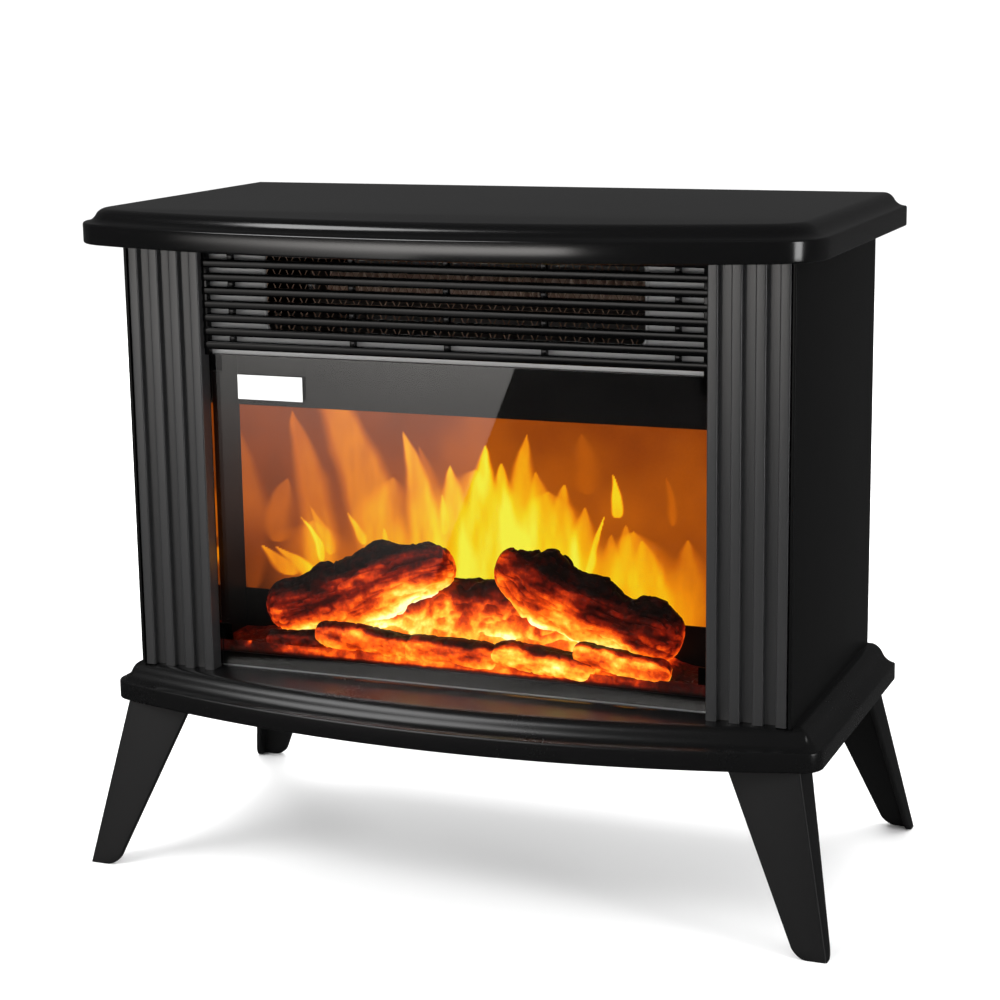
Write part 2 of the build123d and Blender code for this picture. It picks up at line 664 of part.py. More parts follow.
def make_guard():
    """An expanded-metal sheet: diamonds in staggered rows inside a plain border."""
    x0, x1, z0, z1 = window_box()
    width, height = x1 - x0 + 2 * MESH_BORDER, z1 - z0 + 2 * MESH_BORDER
    sheet = Rectangle(width, height).face()
    half_w, half_h = (MESH_CELL_WIDTH - MESH_STRAND) / 2, (MESH_CELL_HEIGHT - MESH_STRAND) / 2
    columns = int((x1 - x0) / MESH_CELL_WIDTH)
    rows = int(2 * (z1 - z0) / MESH_CELL_HEIGHT) - 1
    holes = []
    for row in range(rows):
        stagger = 0.5 * (row % 2)
        for column in range(columns - row % 2):
            cx = (column + stagger - (columns - 1) / 2) * MESH_CELL_WIDTH
            cz = (row - (rows - 1) / 2) * MESH_CELL_HEIGHT / 2
            diamond = Polyline((cx - half_w, cz), (cx, cz - half_h), (cx + half_w, cz), (cx, cz + half_h),
                               close=True)
            holes.append(Wire(diamond.edges()))
    sheet = sheet.make_holes(holes)
    guard = Rot(90, 0, 0) * extrude(sheet, SHEET / 2, both=True)
    return Pos((x0 + x1) / 2, GUARD_Y + SHEET / 2, (z0 + z1) / 2) * guard


# ---------------------------------------------------------------------------
# Glass and firebox
# ---------------------------------------------------------------------------

def make_glass():
    half = PILLAR_INNER - GLASS_GAP
    return block(-half, half, GLASS_FRONT_Y, GLASS_BACK_Y, Z_BODY + GLASS_GAP, Z_DECK)


def make_label():
    x0 = -(PILLAR_INNER - GLASS_GAP) + LABEL_FROM_LEFT
    z1 = Z_DECK - LABEL_FROM_TOP
    return block(x0, x0 + LABEL_WIDTH, GLASS_FRONT_Y - LABEL_THICKNESS, GLASS_FRONT_Y, z1 - LABEL_HEIGHT, z1)


def make_glass_clips():
    """Four angles that hold the glass from behind, at the cheeks."""
    clips = []
    for level in (Z_FLOOR + BED_HEIGHT + SHEET_GAP, Z_DECK - CLIP_HEIGHT - SHEET_GAP):
        top = level + CLIP_HEIGHT
        angle = block(PILLAR_INNER - CLIP_REACH, PILLAR_INNER, GLASS_BACK_Y, FIREBOX_FRONT_Y, level, top)
        angle += block(PILLAR_INNER - CLIP_THICKNESS, PILLAR_INNER, GLASS_BACK_Y, FIREBOX_FRONT_Y + CLIP_TAB,
                       level, top)
        clips += [angle, mirror(angle, about=Plane.YZ)]
    return group(clips)


def make_cheeks():
    return group(block(side * PILLAR_INNER, side * (PILLAR_INNER + PLATE), FIREBOX_FRONT_Y, FIREBOX_BACK_Y,
                       Z_FLOOR, Z_DECK) for side in (-1, 1))


def back_strip(z0, z1):
    """A black sheet across the back of the firebox."""
    return block(-PILLAR_INNER, PILLAR_INNER, FIREBOX_BACK_Y - PLATE, FIREBOX_BACK_Y, z0, z1)


def make_screen():
    half = PILLAR_INNER + PLATE
    return block(-half, half, FIREBOX_BACK_Y, FIREBOX_BACK_Y + SCREEN_THICKNESS,
                 Z_FLOOR + LEDGE_HEIGHT - 1.6 * SCREEN_LAP, Z_DECK - HEADER_DROP + SCREEN_LAP)


BED_HALF = PILLAR_INNER - GLASS_GAP
BED_FRONT_Y = GLASS_BACK_Y + PLATE + SHEET_GAP
BED_BACK_Y = FIREBOX_BACK_Y - PLATE - SHEET_GAP
BED_TOP = Z_FLOOR + BED_HEIGHT
LOG_Y = (BED_FRONT_Y + BED_BACK_Y) / 2
LOG_HALF_DEPTH = (BED_BACK_Y - BED_FRONT_Y) / 2 - LOG_SIDE_GAP
LOG_LOW_Z = BED_TOP + LOG_LOW_RISE
LOG_HIGH_Z = BED_TOP + LOG_HIGH_RISE
LOG_OUTER_X = BED_HALF - LOG_END_ROOM


def make_bed_rail():
    """The black strip behind the foot of the glass."""
    return block(-BED_HALF, BED_HALF, GLASS_BACK_Y + SHEET_GAP, GLASS_BACK_Y + SHEET_GAP + PLATE,
                 Z_FLOOR, Z_FLOOR + BED_LIP)


def make_log(side):
    """A leaning log: low at the outer end, high at the middle."""
    inner_x = LOG_MEETING_X + side * LOG_SPREAD
    outer_x = side * LOG_OUTER_X
    inner = Vector(inner_x, LOG_Y, LOG_HIGH_Z)
    outer = Vector(outer_x, LOG_Y, LOG_LOW_Z)
    direction = outer - inner
    plane = Plane(origin=inner, x_dir=(0, 1, 0), z_dir=direction)
    return plane * extrude(Ellipse(LOG_HALF_DEPTH, LOG_HALF_HEIGHT), direction.length)


def make_bed():
    """A moulded tray, open below, with a mound that the logs nest in."""
    bed = block(-BED_HALF, BED_HALF, BED_FRONT_Y, BED_BACK_Y, Z_FLOOR, BED_TOP)
    bed -= block(-BED_HALF + BED_WALL, BED_HALF - BED_WALL, BED_FRONT_Y + BED_WALL, BED_BACK_Y - BED_WALL,
                 Z_FLOOR, BED_TOP - BED_WALL)
    ridge = LOG_HIGH_Z - LOG_HALF_HEIGHT / 2
    foot = LOG_LOW_Z - LOG_HALF_HEIGHT / 2
    outline = Polyline((-LOG_OUTER_X, BED_TOP), (-LOG_OUTER_X, foot), (LOG_MEETING_X - LOG_SPREAD, ridge),
                       (LOG_MEETING_X + LOG_SPREAD, ridge), (LOG_OUTER_X, foot), (LOG_OUTER_X, BED_TOP),
                       close=True)
    mound_front = BED_FRONT_Y + 2 * SMALL_LOG_RADIUS + MOVING_GAP
    depth = BED_BACK_Y - mound_front
    mound = Rot(90, 0, 0) * extrude(make_face(outline), depth / 2, both=True)
    bed += Pos(0, mound_front + depth / 2, 0) * mound
    return bed - make_log(-1) - make_log(1)


def make_small_logs():
    span = 2 * LOG_OUTER_X
    length = (span - (SMALL_LOG_COUNT - 1) * SMALL_LOG_GAP) / SMALL_LOG_COUNT
    y = BED_FRONT_Y + SMALL_LOG_RADIUS
    z = BED_TOP + SMALL_LOG_RADIUS
    solids = []
    for index in range(SMALL_LOG_COUNT):
        x0 = -LOG_OUTER_X + index * (length + SMALL_LOG_GAP)
        log = rod_x(SMALL_LOG_RADIUS, x0, x0 + length, y, z)
        solids.append(log - make_log(-1) - make_log(1))
    return group(solids)


def led_board(y):
    """A strip of LEDs on the bottom plate."""
    half = BED_HALF - LED_END_ROOM
    top = Z_FLOOR + BOARD_THICKNESS
    board = block(-half, half, y - LED_BOARD_WIDTH / 2, y + LED_BOARD_WIDTH / 2, Z_FLOOR, top)
    for index in range(LED_COUNT):
        x = -half + 2 * half * (index + 0.5) / LED_COUNT
        board += block(x - LED_SIZE / 2, x + LED_SIZE / 2, y - LED_SIZE / 2, y + LED_SIZE / 2,
                       top, top + LED_HEIGHT)
    return board


# ---------------------------------------------------------------------------
# Flame spindle
# ---------------------------------------------------------------------------

SPINDLE_Y = FIREBOX_BACK_Y + SCREEN_THICKNESS + SPINDLE_BEHIND_SCREEN
SPINDLE_Z = Z_FLOOR + SPINDLE_HEIGHT
SPINDLE_HALF_SPAN = PILLAR_INNER - SPINDLE_END_ROOM
SPINDLE_LEFT_X = -SPINDLE_HALF_SPAN
SPINDLE_RIGHT_X = SPINDLE_HALF_SPAN


def make_spindle_rod():
    return rod_x(SPINDLE_ROD_RADIUS, SPINDLE_LEFT_X - 2 * PLATE, SPINDLE_RIGHT_X + 0.6 * SPINDLE_MOTOR_LENGTH,
                 SPINDLE_Y, SPINDLE_Z)


def make_paddles():
    """Thin foil paddles along the rod, each turned a step further."""
    pitch = 2 * SPINDLE_HALF_SPAN / PADDLE_COUNT
    solids = []
    for index in range(PADDLE_COUNT):
        x = SPINDLE_LEFT_X + pitch * (index + 0.5)
        hub = rod_x(2 * SPINDLE_ROD_RADIUS, x - PADDLE_WIDTH / 2, x + PADDLE_WIDTH / 2, SPINDLE_Y, SPINDLE_Z)
        blade = Rot(index * PADDLE_TURN, 0, 0) * Box(PADDLE_WIDTH, PADDLE_SPAN, PADDLE_THICKNESS)
        bore = rod_x(SPINDLE_ROD_RADIUS, x - PADDLE_WIDTH, x + PADDLE_WIDTH, SPINDLE_Y, SPINDLE_Z)
        solids.append(hub + Pos(x, SPINDLE_Y, SPINDLE_Z) * blade - bore)
    return group(solids)


def spindle_bracket(x0, direction):
    """An upright with a foot on the bottom plate. Its inner face is at x0."""
    x1 = x0 + direction * PLATE
    top = SPINDLE_Z + BRACKET_WIDTH / 2
    half = BRACKET_WIDTH / 2
    upright = block(x0, x1, SPINDLE_Y - half, SPINDLE_Y + half, Z_FLOOR, top)
    return upright + block(x1, x1 + direction * BRACKET_FOOT, SPINDLE_Y - half, SPINDLE_Y + half,
                           Z_FLOOR, Z_FLOOR + PLATE)


def make_left_bracket():
    bore = rod_x(SPINDLE_ROD_RADIUS + RUNNING_GAP, SPINDLE_LEFT_X - 2 * PLATE, SPINDLE_LEFT_X,
                 SPINDLE_Y, SPINDLE_Z)
    return spindle_bracket(SPINDLE_LEFT_X - PLATE / 2, -1) - bore


def make_spindle_motor():
    x0 = SPINDLE_RIGHT_X + MOVING_GAP
    x1 = x0 + SPINDLE_MOTOR_LENGTH
    motor = rod_x(SPINDLE_MOTOR_RADIUS, x0, x1, SPINDLE_Y, SPINDLE_Z)
    bore_end = x0 + 0.7 * SPINDLE_MOTOR_LENGTH
    return motor - rod_x(SPINDLE_ROD_RADIUS + RUNNING_GAP, x0, bore_end, SPINDLE_Y, SPINDLE_Z)


def make_right_bracket():
    return spindle_bracket(SPINDLE_RIGHT_X + MOVING_GAP + SPINDLE_MOTOR_LENGTH, 1)


# ---------------------------------------------------------------------------
# Heater
# ---------------------------------------------------------------------------

HEATER_X0 = -PILLAR_INNER + HEATER_FROM_LEFT
HEATER_X1 = PILLAR_INNER - HEATER_FROM_RIGHT
HEATER_LENGTH = HEATER_X1 - HEATER_X0
HEATER_CENTRE_X = (HEATER_X0 + HEATER_X1) / 2
HEATER_Y0 = GUARD_Y + SHEET + HEATER_BEHIND_GUARD
HEATER_Y1 = HEATER_Y0 + HEATER_DEPTH
HEATER_Z1 = Z_CEILING - HEATER_BELOW_TOP
HEATER_Z0 = HEATER_Z1 - HEATER_HEIGHT


def make_heater_frame():
    """A short duct round the fins, on two end plates that stand on the deck."""
    t = HEATER_WALL
    frame = block(HEATER_X0 - t, HEATER_X1 + t, HEATER_Y0, HEATER_Y1, HEATER_Z0, HEATER_Z1)
    frame -= block(HEATER_X0, HEATER_X1, HEATER_Y0, HEATER_Y1, HEATER_Z0 + t, HEATER_Z1 - t)
    for x0 in (HEATER_X0 - t, HEATER_X1):
        frame += block(x0, x0 + t, HEATER_Y0, HEATER_Y1, Z_DECK_TOP, HEATER_Z0)
    return frame


def make_heater_fins():
    """One folded strip: a zigzag with an even thickness, as deep as the duct."""
    low = HEATER_Z0 + HEATER_WALL + SHEET_GAP
    high = HEATER_Z1 - HEATER_WALL - SHEET_GAP - FIN_THICKNESS
    fold_count = 2 * int((HEATER_LENGTH - 2 * FIN_PITCH) / FIN_PITCH)
    start = HEATER_CENTRE_X - fold_count * FIN_PITCH / 4
    half_pitch = FIN_PITCH / 2
    under = [(start + index * half_pitch, low if index % 2 == 0 else high) for index in range(fold_count + 1)]
    slope = math.hypot(FIN_PITCH / 2, high - low) / (FIN_PITCH / 2)
    rise = FIN_THICKNESS * slope
    upper = [(x, min(z + rise, HEATER_Z1 - HEATER_WALL)) for x, z in reversed(under)]
    strip = make_face(Polyline(under + upper, close=True))
    fins = Rot(90, 0, 0) * extrude(strip, HEATER_DEPTH / 2 - SHEET, both=True)
    return Pos(0, (HEATER_Y0 + HEATER_Y1) / 2, 0) * fins


def make_cutout():
    """The disc thermostat on the end of the heater."""
    x1 = HEATER_X0 - HEATER_WALL
    return rod_x(CUTOUT_RADIUS, x1 - CUTOUT_THICKNESS, x1, (HEATER_Y0 + HEATER_Y1) / 2,
                 (HEATER_Z0 + HEATER_Z1) / 2)


# ---------------------------------------------------------------------------
# Blower
# ---------------------------------------------------------------------------

BLOWER_Y = HEATER_Y1 + BLOWER_BEHIND_HEATER
BLOWER_Z = HEATER_Z0
WHEEL_LENGTH = HEATER_LENGTH - WHEEL_SHORTER_THAN_HEATER
WHEEL_X0 = HEATER_CENTRE_X - WHEEL_LENGTH / 2
WHEEL_X1 = HEATER_CENTRE_X + WHEEL_LENGTH / 2
SCROLL_OUTER = BLOWER_Z - Z_DECK_TOP - SCROLL_ABOVE_DECK
SCROLL_RADIUS = SCROLL_OUTER - SCROLL_WALL
WHEEL_RADIUS = SCROLL_RADIUS - SCROLL_GAP
HOUSING_X0 = WHEEL_X0 - WHEEL_END_GAP
HOUSING_X1 = WHEEL_X1 + WHEEL_END_GAP
ROTOR_X0 = HOUSING_X1 + SCROLL_WALL + 4.0
ROTOR_X1 = ROTOR_X0 + ROTOR_LENGTH
MOTOR_X1 = ROTOR_X1 + 4.0


def make_blower_wheel():
    wheel = Part()
    for x0 in (WHEEL_X0, HEATER_CENTRE_X - WHEEL_DISC / 2, WHEEL_X1 - WHEEL_DISC):
        wheel += rod_x(WHEEL_RADIUS, x0, x0 + WHEEL_DISC, 0, 0)
    blade = Pos(HEATER_CENTRE_X, WHEEL_RADIUS - BLADE_CHORD / 2 - BLADE_THICKNESS, 0)
    blade = blade * Rot(30, 0, 0) * Box(WHEEL_LENGTH, BLADE_CHORD, BLADE_THICKNESS)
    for index in range(BLADE_COUNT):
        wheel += Rot(index * 360 / BLADE_COUNT, 0, 0) * blade
    wheel -= rod_x(BLOWER_SHAFT_RADIUS, WHEEL_X0, WHEEL_X1, 0, 0)
    return Pos(0, BLOWER_Y, BLOWER_Z) * wheel


def make_blower_shaft():
    x0 = HOUSING_X0 - SCROLL_WALL - BEARING_LENGTH
    shaft = rod_x(BLOWER_SHAFT_RADIUS, x0, MOTOR_X1 + SCROLL_WALL + PLATE, BLOWER_Y, BLOWER_Z)
    return shaft + rod_x(ROTOR_RADIUS, ROTOR_X0, ROTOR_X1, BLOWER_Y, BLOWER_Z)


def make_blower_housing():
    """Half a scroll round the wheel, two outlet walls, and an end plate at each side."""
    x0, x1 = HOUSING_X0 - SCROLL_WALL, HOUSING_X1 + SCROLL_WALL
    z0, z1 = BLOWER_Z - SCROLL_OUTER, HEATER_Z1 + SCROLL_WALL
    scroll = rod_x(SCROLL_OUTER, x0, x1, BLOWER_Y, BLOWER_Z) - rod_x(SCROLL_RADIUS, x0, x1, BLOWER_Y, BLOWER_Z)
    scroll -= block(x0, x1, BLOWER_Y - SCROLL_OUTER, BLOWER_Y + SCROLL_OUTER, BLOWER_Z, BLOWER_Z + SCROLL_OUTER)
    housing = scroll + block(x0, x1, HEATER_Y1, BLOWER_Y - SCROLL_RADIUS, BLOWER_Z - SCROLL_WALL, BLOWER_Z)
    tongue_rise = HEATER_HEIGHT + SCROLL_WALL
    tongue_y = BLOWER_Y - math.sqrt(max(SCROLL_RADIUS ** 2 - HEATER_HEIGHT ** 2, 0))
    housing += block(x0, x1, HEATER_Y1, tongue_y, BLOWER_Z + HEATER_HEIGHT, BLOWER_Z + tongue_rise)
    for start, end in ((x0, HOUSING_X0), (HOUSING_X1, x1)):
        housing += block(start, end, HEATER_Y1, BLOWER_Y + SCROLL_OUTER, z0, z1)
    return housing - rod_x(2 * BLOWER_SHAFT_RADIUS, x0, x1, BLOWER_Y, BLOWER_Z)


def make_blower_bearing():
    x1 = HOUSING_X0 - SCROLL_WALL
    x0 = x1 - BEARING_LENGTH
    bearing = rod_x(BEARING_RADIUS, x0, x1, BLOWER_Y, BLOWER_Z)
    return bearing - rod_x(BLOWER_SHAFT_RADIUS + RUNNING_GAP, x0, x1, BLOWER_Y, BLOWER_Z)


def make_blower_motor():
    """Stator, four posts and two bearing plates."""
    half = STATOR_SIZE / 2
    x0 = HOUSING_X1 + SCROLL_WALL
    motor = Pos((ROTOR_X0 + ROTOR_X1) / 2, 0, 0) * Box(ROTOR_LENGTH, STATOR_SIZE, STATOR_SIZE)
    motor -= rod_x(ROTOR_RADIUS + MOVING_GAP, ROTOR_X0, ROTOR_X1, 0, 0)
    for start in (x0, MOTOR_X1):
        motor += Pos(start + SCROLL_WALL / 2, 0, 0) * Box(SCROLL_WALL, STATOR_SIZE, 2 * ROTOR_RADIUS)
    for y in (-half + 2, half - 2):
        motor += rod_x(2.0, x0, MOTOR_X1 + SCROLL_WALL, y, 0)
    motor -= rod_x(BLOWER_SHAFT_RADIUS + RUNNING_GAP, x0, MOTOR_X1 + SCROLL_WALL, 0, 0)
    return Pos(0, BLOWER_Y, BLOWER_Z) * motor


# ---------------------------------------------------------------------------
# Controls on the rear cover
# ---------------------------------------------------------------------------

CONTROL_X, CONTROL_Z = control_centre()
CONTROL_Y1 = BACK_Y + CONTROL_THICKNESS
KNOB_X = CONTROL_X + KNOB_OFFSET_X
KNOB_Y0 = CONTROL_Y1 + MOVING_GAP
KNOB_Y1 = KNOB_Y0 + KNOB_HEIGHT
BUSH_RADIUS = THERMOSTAT_SHAFT_RADIUS + SWITCH_WALL
SHAFT_DEPTH = 0.6 * THERMOSTAT_DEPTH
SHAFT_END_Y = KNOB_Y1 - 3.0
SWITCH_PLACES = [CONTROL_X + SWITCH_OFFSET_X, CONTROL_X + SWITCH_OFFSET_X + SWITCH_SPACING]
ROCKER_WIDTH = SWITCH_WIDTH - 2 * (SWITCH_LIP + MOVING_GAP)
PIVOT_Y = CONTROL_Y1 + SWITCH_BEZEL - 0.7 * ROCKER_RISE


def control_screw_places():
    x, z = control_centre()
    reach = CONTROL_WIDTH / 2 - CONTROL_FLANGE / 2
    return [(x - reach, z), (x + reach, z)]


def make_control_plate():
    half_w, half_h = CONTROL_WIDTH / 2, CONTROL_HEIGHT / 2
    plate = rounded_panel(CONTROL_X - half_w, CONTROL_X + half_w, CONTROL_Z - half_h, CONTROL_Z + half_h,
                          BACK_Y, CONTROL_Y1, CONTROL_FLANGE)
    plate -= rod_y(BUSH_RADIUS, BACK_Y, CONTROL_Y1, KNOB_X, CONTROL_Z)
    for x in SWITCH_PLACES:
        plate -= block(x - SWITCH_WIDTH / 2, x + SWITCH_WIDTH / 2, BACK_Y, CONTROL_Y1,
                       CONTROL_Z - SWITCH_HEIGHT / 2, CONTROL_Z + SWITCH_HEIGHT / 2)
    for x, z in control_screw_places():
        plate -= rod_y(SCREW_RADIUS, BACK_Y, CONTROL_Y1, x, z)
    return plate


def make_thermostat_body():
    half = THERMOSTAT_SIZE / 2
    body = block(KNOB_X - half, KNOB_X + half, BACK_Y - THERMOSTAT_DEPTH, BACK_Y,
                 CONTROL_Z - half, CONTROL_Z + half)
    body += rod_y(BUSH_RADIUS, BACK_Y, CONTROL_Y1, KNOB_X, CONTROL_Z)
    return body - rod_y(THERMOSTAT_SHAFT_RADIUS + RUNNING_GAP, BACK_Y - SHAFT_DEPTH - SHEET, CONTROL_Y1,
                        KNOB_X, CONTROL_Z)


def make_thermostat_shaft():
    """A round shaft with a flat where the knob grips it."""
    shaft = rod_y(THERMOSTAT_SHAFT_RADIUS, BACK_Y - SHAFT_DEPTH, SHAFT_END_Y, KNOB_X, CONTROL_Z)
    r = THERMOSTAT_SHAFT_RADIUS
    return shaft - block(KNOB_X - r, KNOB_X + r, KNOB_Y0, SHAFT_END_Y,
                         CONTROL_Z + r - THERMOSTAT_FLAT, CONTROL_Z + r)


def make_knob():
    knob = rod_y(KNOB_RADIUS, KNOB_Y0, KNOB_Y1, KNOB_X, CONTROL_Z)
    front_edge = knob.edges().filter_by(GeomType.CIRCLE).sort_by(Axis.Y)[-1]
    knob = fillet(front_edge, EDGE_ROUND)
    for index in range(KNOB_FLUTES):
        angle = math.radians(index * 360 / KNOB_FLUTES)
        x = KNOB_X + (KNOB_RADIUS + KNOB_FLUTE_RADIUS / 2) * math.sin(angle)
        z = CONTROL_Z + (KNOB_RADIUS + KNOB_FLUTE_RADIUS / 2) * math.cos(angle)
        knob -= rod_y(KNOB_FLUTE_RADIUS, KNOB_Y0 + KNOB_SKIRT_HEIGHT, KNOB_Y1, x, z)
    knob += rod_y(KNOB_RADIUS + KNOB_SKIRT, KNOB_Y0, KNOB_Y0 + KNOB_SKIRT_HEIGHT, KNOB_X, CONTROL_Z)
    return knob - make_thermostat_shaft()


def make_switch_body(x):
    """A housing with a bezel, a well for the rocker and two pivot holes."""
    half_w, half_h = SWITCH_WIDTH / 2, SWITCH_HEIGHT / 2
    bezel = EDGE_ROUND
    y1 = CONTROL_Y1 + SWITCH_BEZEL
    body = block(x - half_w, x + half_w, CONTROL_Y1 - SWITCH_DEPTH, CONTROL_Y1,
                 CONTROL_Z - half_h, CONTROL_Z + half_h)
    body += block(x - half_w - bezel, x + half_w + bezel, CONTROL_Y1, y1,
                  CONTROL_Z - half_h - bezel, CONTROL_Z + half_h + bezel)
    well_w = ROCKER_WIDTH / 2 + MOVING_GAP
    well_h = ROCKER_RADIUS + MOVING_GAP
    tilt_dip = ROCKER_RADIUS * math.sin(math.radians(ROCKER_TILT))
    floor_y = PIVOT_Y - ROCKER_SINK - tilt_dip - MOVING_GAP
    body -= block(x - well_w, x + well_w, floor_y, y1, CONTROL_Z - well_h, CONTROL_Z + well_h)
    pin_half = ROCKER_WIDTH / 2 + TRUNNION_LENGTH + RUNNING_GAP
    return body - rod_x(TRUNNION_RADIUS + RUNNING_GAP, x - pin_half, x + pin_half, PIVOT_Y, CONTROL_Z)


def make_rocker(x):
    """A rocker with ends round its own pivot, stored tipped to one side."""
    half_w = ROCKER_WIDTH / 2
    rocker = rod_x(ROCKER_RADIUS, -half_w, half_w, 0, 0)
    rocker &= block(-half_w, half_w, -ROCKER_SINK, ROCKER_RISE, -ROCKER_RADIUS, ROCKER_RADIUS)
    dish_radius = 4 * ROCKER_RADIUS
    rocker -= rod_x(dish_radius, -half_w, half_w, ROCKER_RISE + dish_radius - ROCKER_DISH, 0)
    pin_half = half_w + TRUNNION_LENGTH
    rocker += rod_x(TRUNNION_RADIUS, -pin_half, pin_half, 0, 0)
    return Pos(x, PIVOT_Y, CONTROL_Z) * Rot(-ROCKER_TILT, 0, 0) * rocker


# ---------------------------------------------------------------------------
# Cable gland, boards, terminal block, tip-over switch, wires
# ---------------------------------------------------------------------------

def make_gland():
    x, z = gland_centre()
    y0 = REAR_INNER_Y - GLAND_NUT_HEIGHT
    gland = rod_y(GLAND_BARREL_RADIUS, y0, BACK_Y, x, z)
    gland += rod_y(GLAND_FLANGE_RADIUS, BACK_Y, BACK_Y + GLAND_FLANGE_HEIGHT, x, z)
    return gland - rod_y(GLAND_BORE_RADIUS, y0, BACK_Y + GLAND_FLANGE_HEIGHT, x, z)


def make_gland_nut():
    x, z = gland_centre()
    y0 = REAR_INNER_Y - GLAND_NUT_HEIGHT
    nut = Rot(90, 0, 0) * extrude(RegularPolygon(GLAND_FLANGE_RADIUS, 6), GLAND_NUT_HEIGHT / 2, both=True)
    nut = Pos(x, y0 + GLAND_NUT_HEIGHT / 2, z) * nut
    return nut - rod_y(GLAND_BARREL_RADIUS, y0, REAR_INNER_Y, x, z)


TERMINAL_X = -BODY_HALF + TERMINAL_FROM_SIDE
TERMINAL_Y = REAR_INNER_Y - TERMINAL_FROM_BACK
DRIVER_X = -BODY_HALF + DRIVER_FROM_SIDE
DRIVER_Y = REAR_INNER_Y - DRIVER_FROM_BACK
TILT_X = BODY_HALF - TILT_FROM_SIDE
TILT_Y = REAR_INNER_Y - TILT_FROM_BACK
TILT_PIN_Z = Z_FLOOR + TILT_HEIGHT - TILT_PIN_BELOW_TOP


def make_terminal_block():
    """Three clamps in a row, each with a screw well from above."""
    half_l, half_w = TERMINAL_LENGTH / 2, TERMINAL_WIDTH / 2
    top = Z_FLOOR + TERMINAL_HEIGHT
    terminal = block(TERMINAL_X - half_l, TERMINAL_X + half_l, TERMINAL_Y - half_w, TERMINAL_Y + half_w,
                     Z_FLOOR, top)
    for index in (-1, 0, 1):
        x = TERMINAL_X + index * TERMINAL_LENGTH / 3.4
        for y in (TERMINAL_Y - half_w / 2, TERMINAL_Y + half_w / 2):
            terminal -= rod_z(SCREW_RADIUS, top - TERMINAL_HEIGHT / 2, top, x, y)
    return terminal


def make_driver_board():
    """A circuit board on four standoffs, with a capacitor and a transformer."""
    half_l, half_w = DRIVER_LENGTH / 2, DRIVER_WIDTH / 2
    bottom = Z_FLOOR + STANDOFF_HEIGHT
    top = bottom + BOARD_THICKNESS
    board = block(DRIVER_X - half_l, DRIVER_X + half_l, DRIVER_Y - half_w, DRIVER_Y + half_w, bottom, top)
    for x in (-half_l + STANDOFF_RADIUS, half_l - STANDOFF_RADIUS):
        for y in (-half_w + STANDOFF_RADIUS, half_w - STANDOFF_RADIUS):
            board += rod_z(STANDOFF_RADIUS, Z_FLOOR, bottom, DRIVER_X + x, DRIVER_Y + y)
    board += rod_z(CAPACITOR_RADIUS, top, top + CAPACITOR_HEIGHT, DRIVER_X - half_l / 2, DRIVER_Y - half_w / 2)
    return board + block(DRIVER_X + half_l / 4, DRIVER_X + 0.9 * half_l, DRIVER_Y - 0.8 * half_w,
                         DRIVER_Y + 0.4 * half_w, top, top + TRANSFORMER_HEIGHT)


def make_tilt_housing():
    half_w, half_d = TILT_WIDTH / 2, TILT_DEPTH / 2
    housing = block(TILT_X - half_w, TILT_X + half_w, TILT_Y - half_d, TILT_Y + half_d,
                    Z_FLOOR, Z_FLOOR + TILT_HEIGHT)
    housing -= block(TILT_X - half_w, TILT_X + half_w, TILT_Y - half_d + TILT_WALL, TILT_Y + half_d - TILT_WALL,
                     Z_FLOOR + TILT_WALL, Z_FLOOR + TILT_HEIGHT)
    return housing - rod_y(TILT_PIN_RADIUS + RUNNING_GAP, TILT_Y - half_d, TILT_Y + half_d, TILT_X, TILT_PIN_Z)


def make_pendulum():
    half_d = TILT_DEPTH / 2
    pendulum = rod_y(TILT_PIN_RADIUS, TILT_Y - half_d, TILT_Y + half_d, TILT_X, TILT_PIN_Z)
    arm_half = TILT_ARM_HALF
    bob_z = TILT_PIN_Z - TILT_ARM
    pendulum += block(TILT_X - arm_half, TILT_X + arm_half, TILT_Y - arm_half, TILT_Y + arm_half,
                      bob_z, TILT_PIN_Z + arm_half)
    return pendulum + rod_y(TILT_BOB_RADIUS, TILT_Y - TILT_BOB_LENGTH / 2, TILT_Y + TILT_BOB_LENGTH / 2,
                            TILT_X, bob_z)


def wire(points):
    """A round wire along straight runs with bent corners."""
    path = FilletPolyline(*points, radius=WIRE_BEND)
    section = Plane(origin=path @ 0, z_dir=path % 0) * Circle(WIRE_RADIUS)
    return sweep(section, path=path)


def make_wires():
    """Mains from the terminal block to the thermostat, and the switch lead to the LED driver."""
    terminal_top = Z_FLOOR + TERMINAL_HEIGHT
    thermostat_top = CONTROL_Z + THERMOSTAT_SIZE / 2
    thermostat_y = BACK_Y - THERMOSTAT_DEPTH / 2
    upper = thermostat_top + WIRE_RISE
    mains = wire([(TERMINAL_X, TERMINAL_Y, terminal_top), (TERMINAL_X, TERMINAL_Y, upper),
                  (KNOB_X, TERMINAL_Y, upper), (KNOB_X, thermostat_y, upper),
                  (KNOB_X, thermostat_y, thermostat_top)])
    switch_x = SWITCH_PLACES[0]
    switch_y = BACK_Y - SWITCH_DEPTH / 2
    switch_top = CONTROL_Z + SWITCH_HEIGHT / 2
    over = upper + WIRE_SPACING
    lead_y = TERMINAL_Y + WIRE_SPACING / 2
    driver_top = Z_FLOOR + STANDOFF_HEIGHT + BOARD_THICKNESS
    lead = wire([(switch_x, switch_y, switch_top), (switch_x, switch_y, over), (switch_x, lead_y, over),
                 (DRIVER_X, lead_y, over), (DRIVER_X, lead_y, driver_top)])
    return group([mains, lead])


# ---------------------------------------------------------------------------
# Screws
# ---------------------------------------------------------------------------

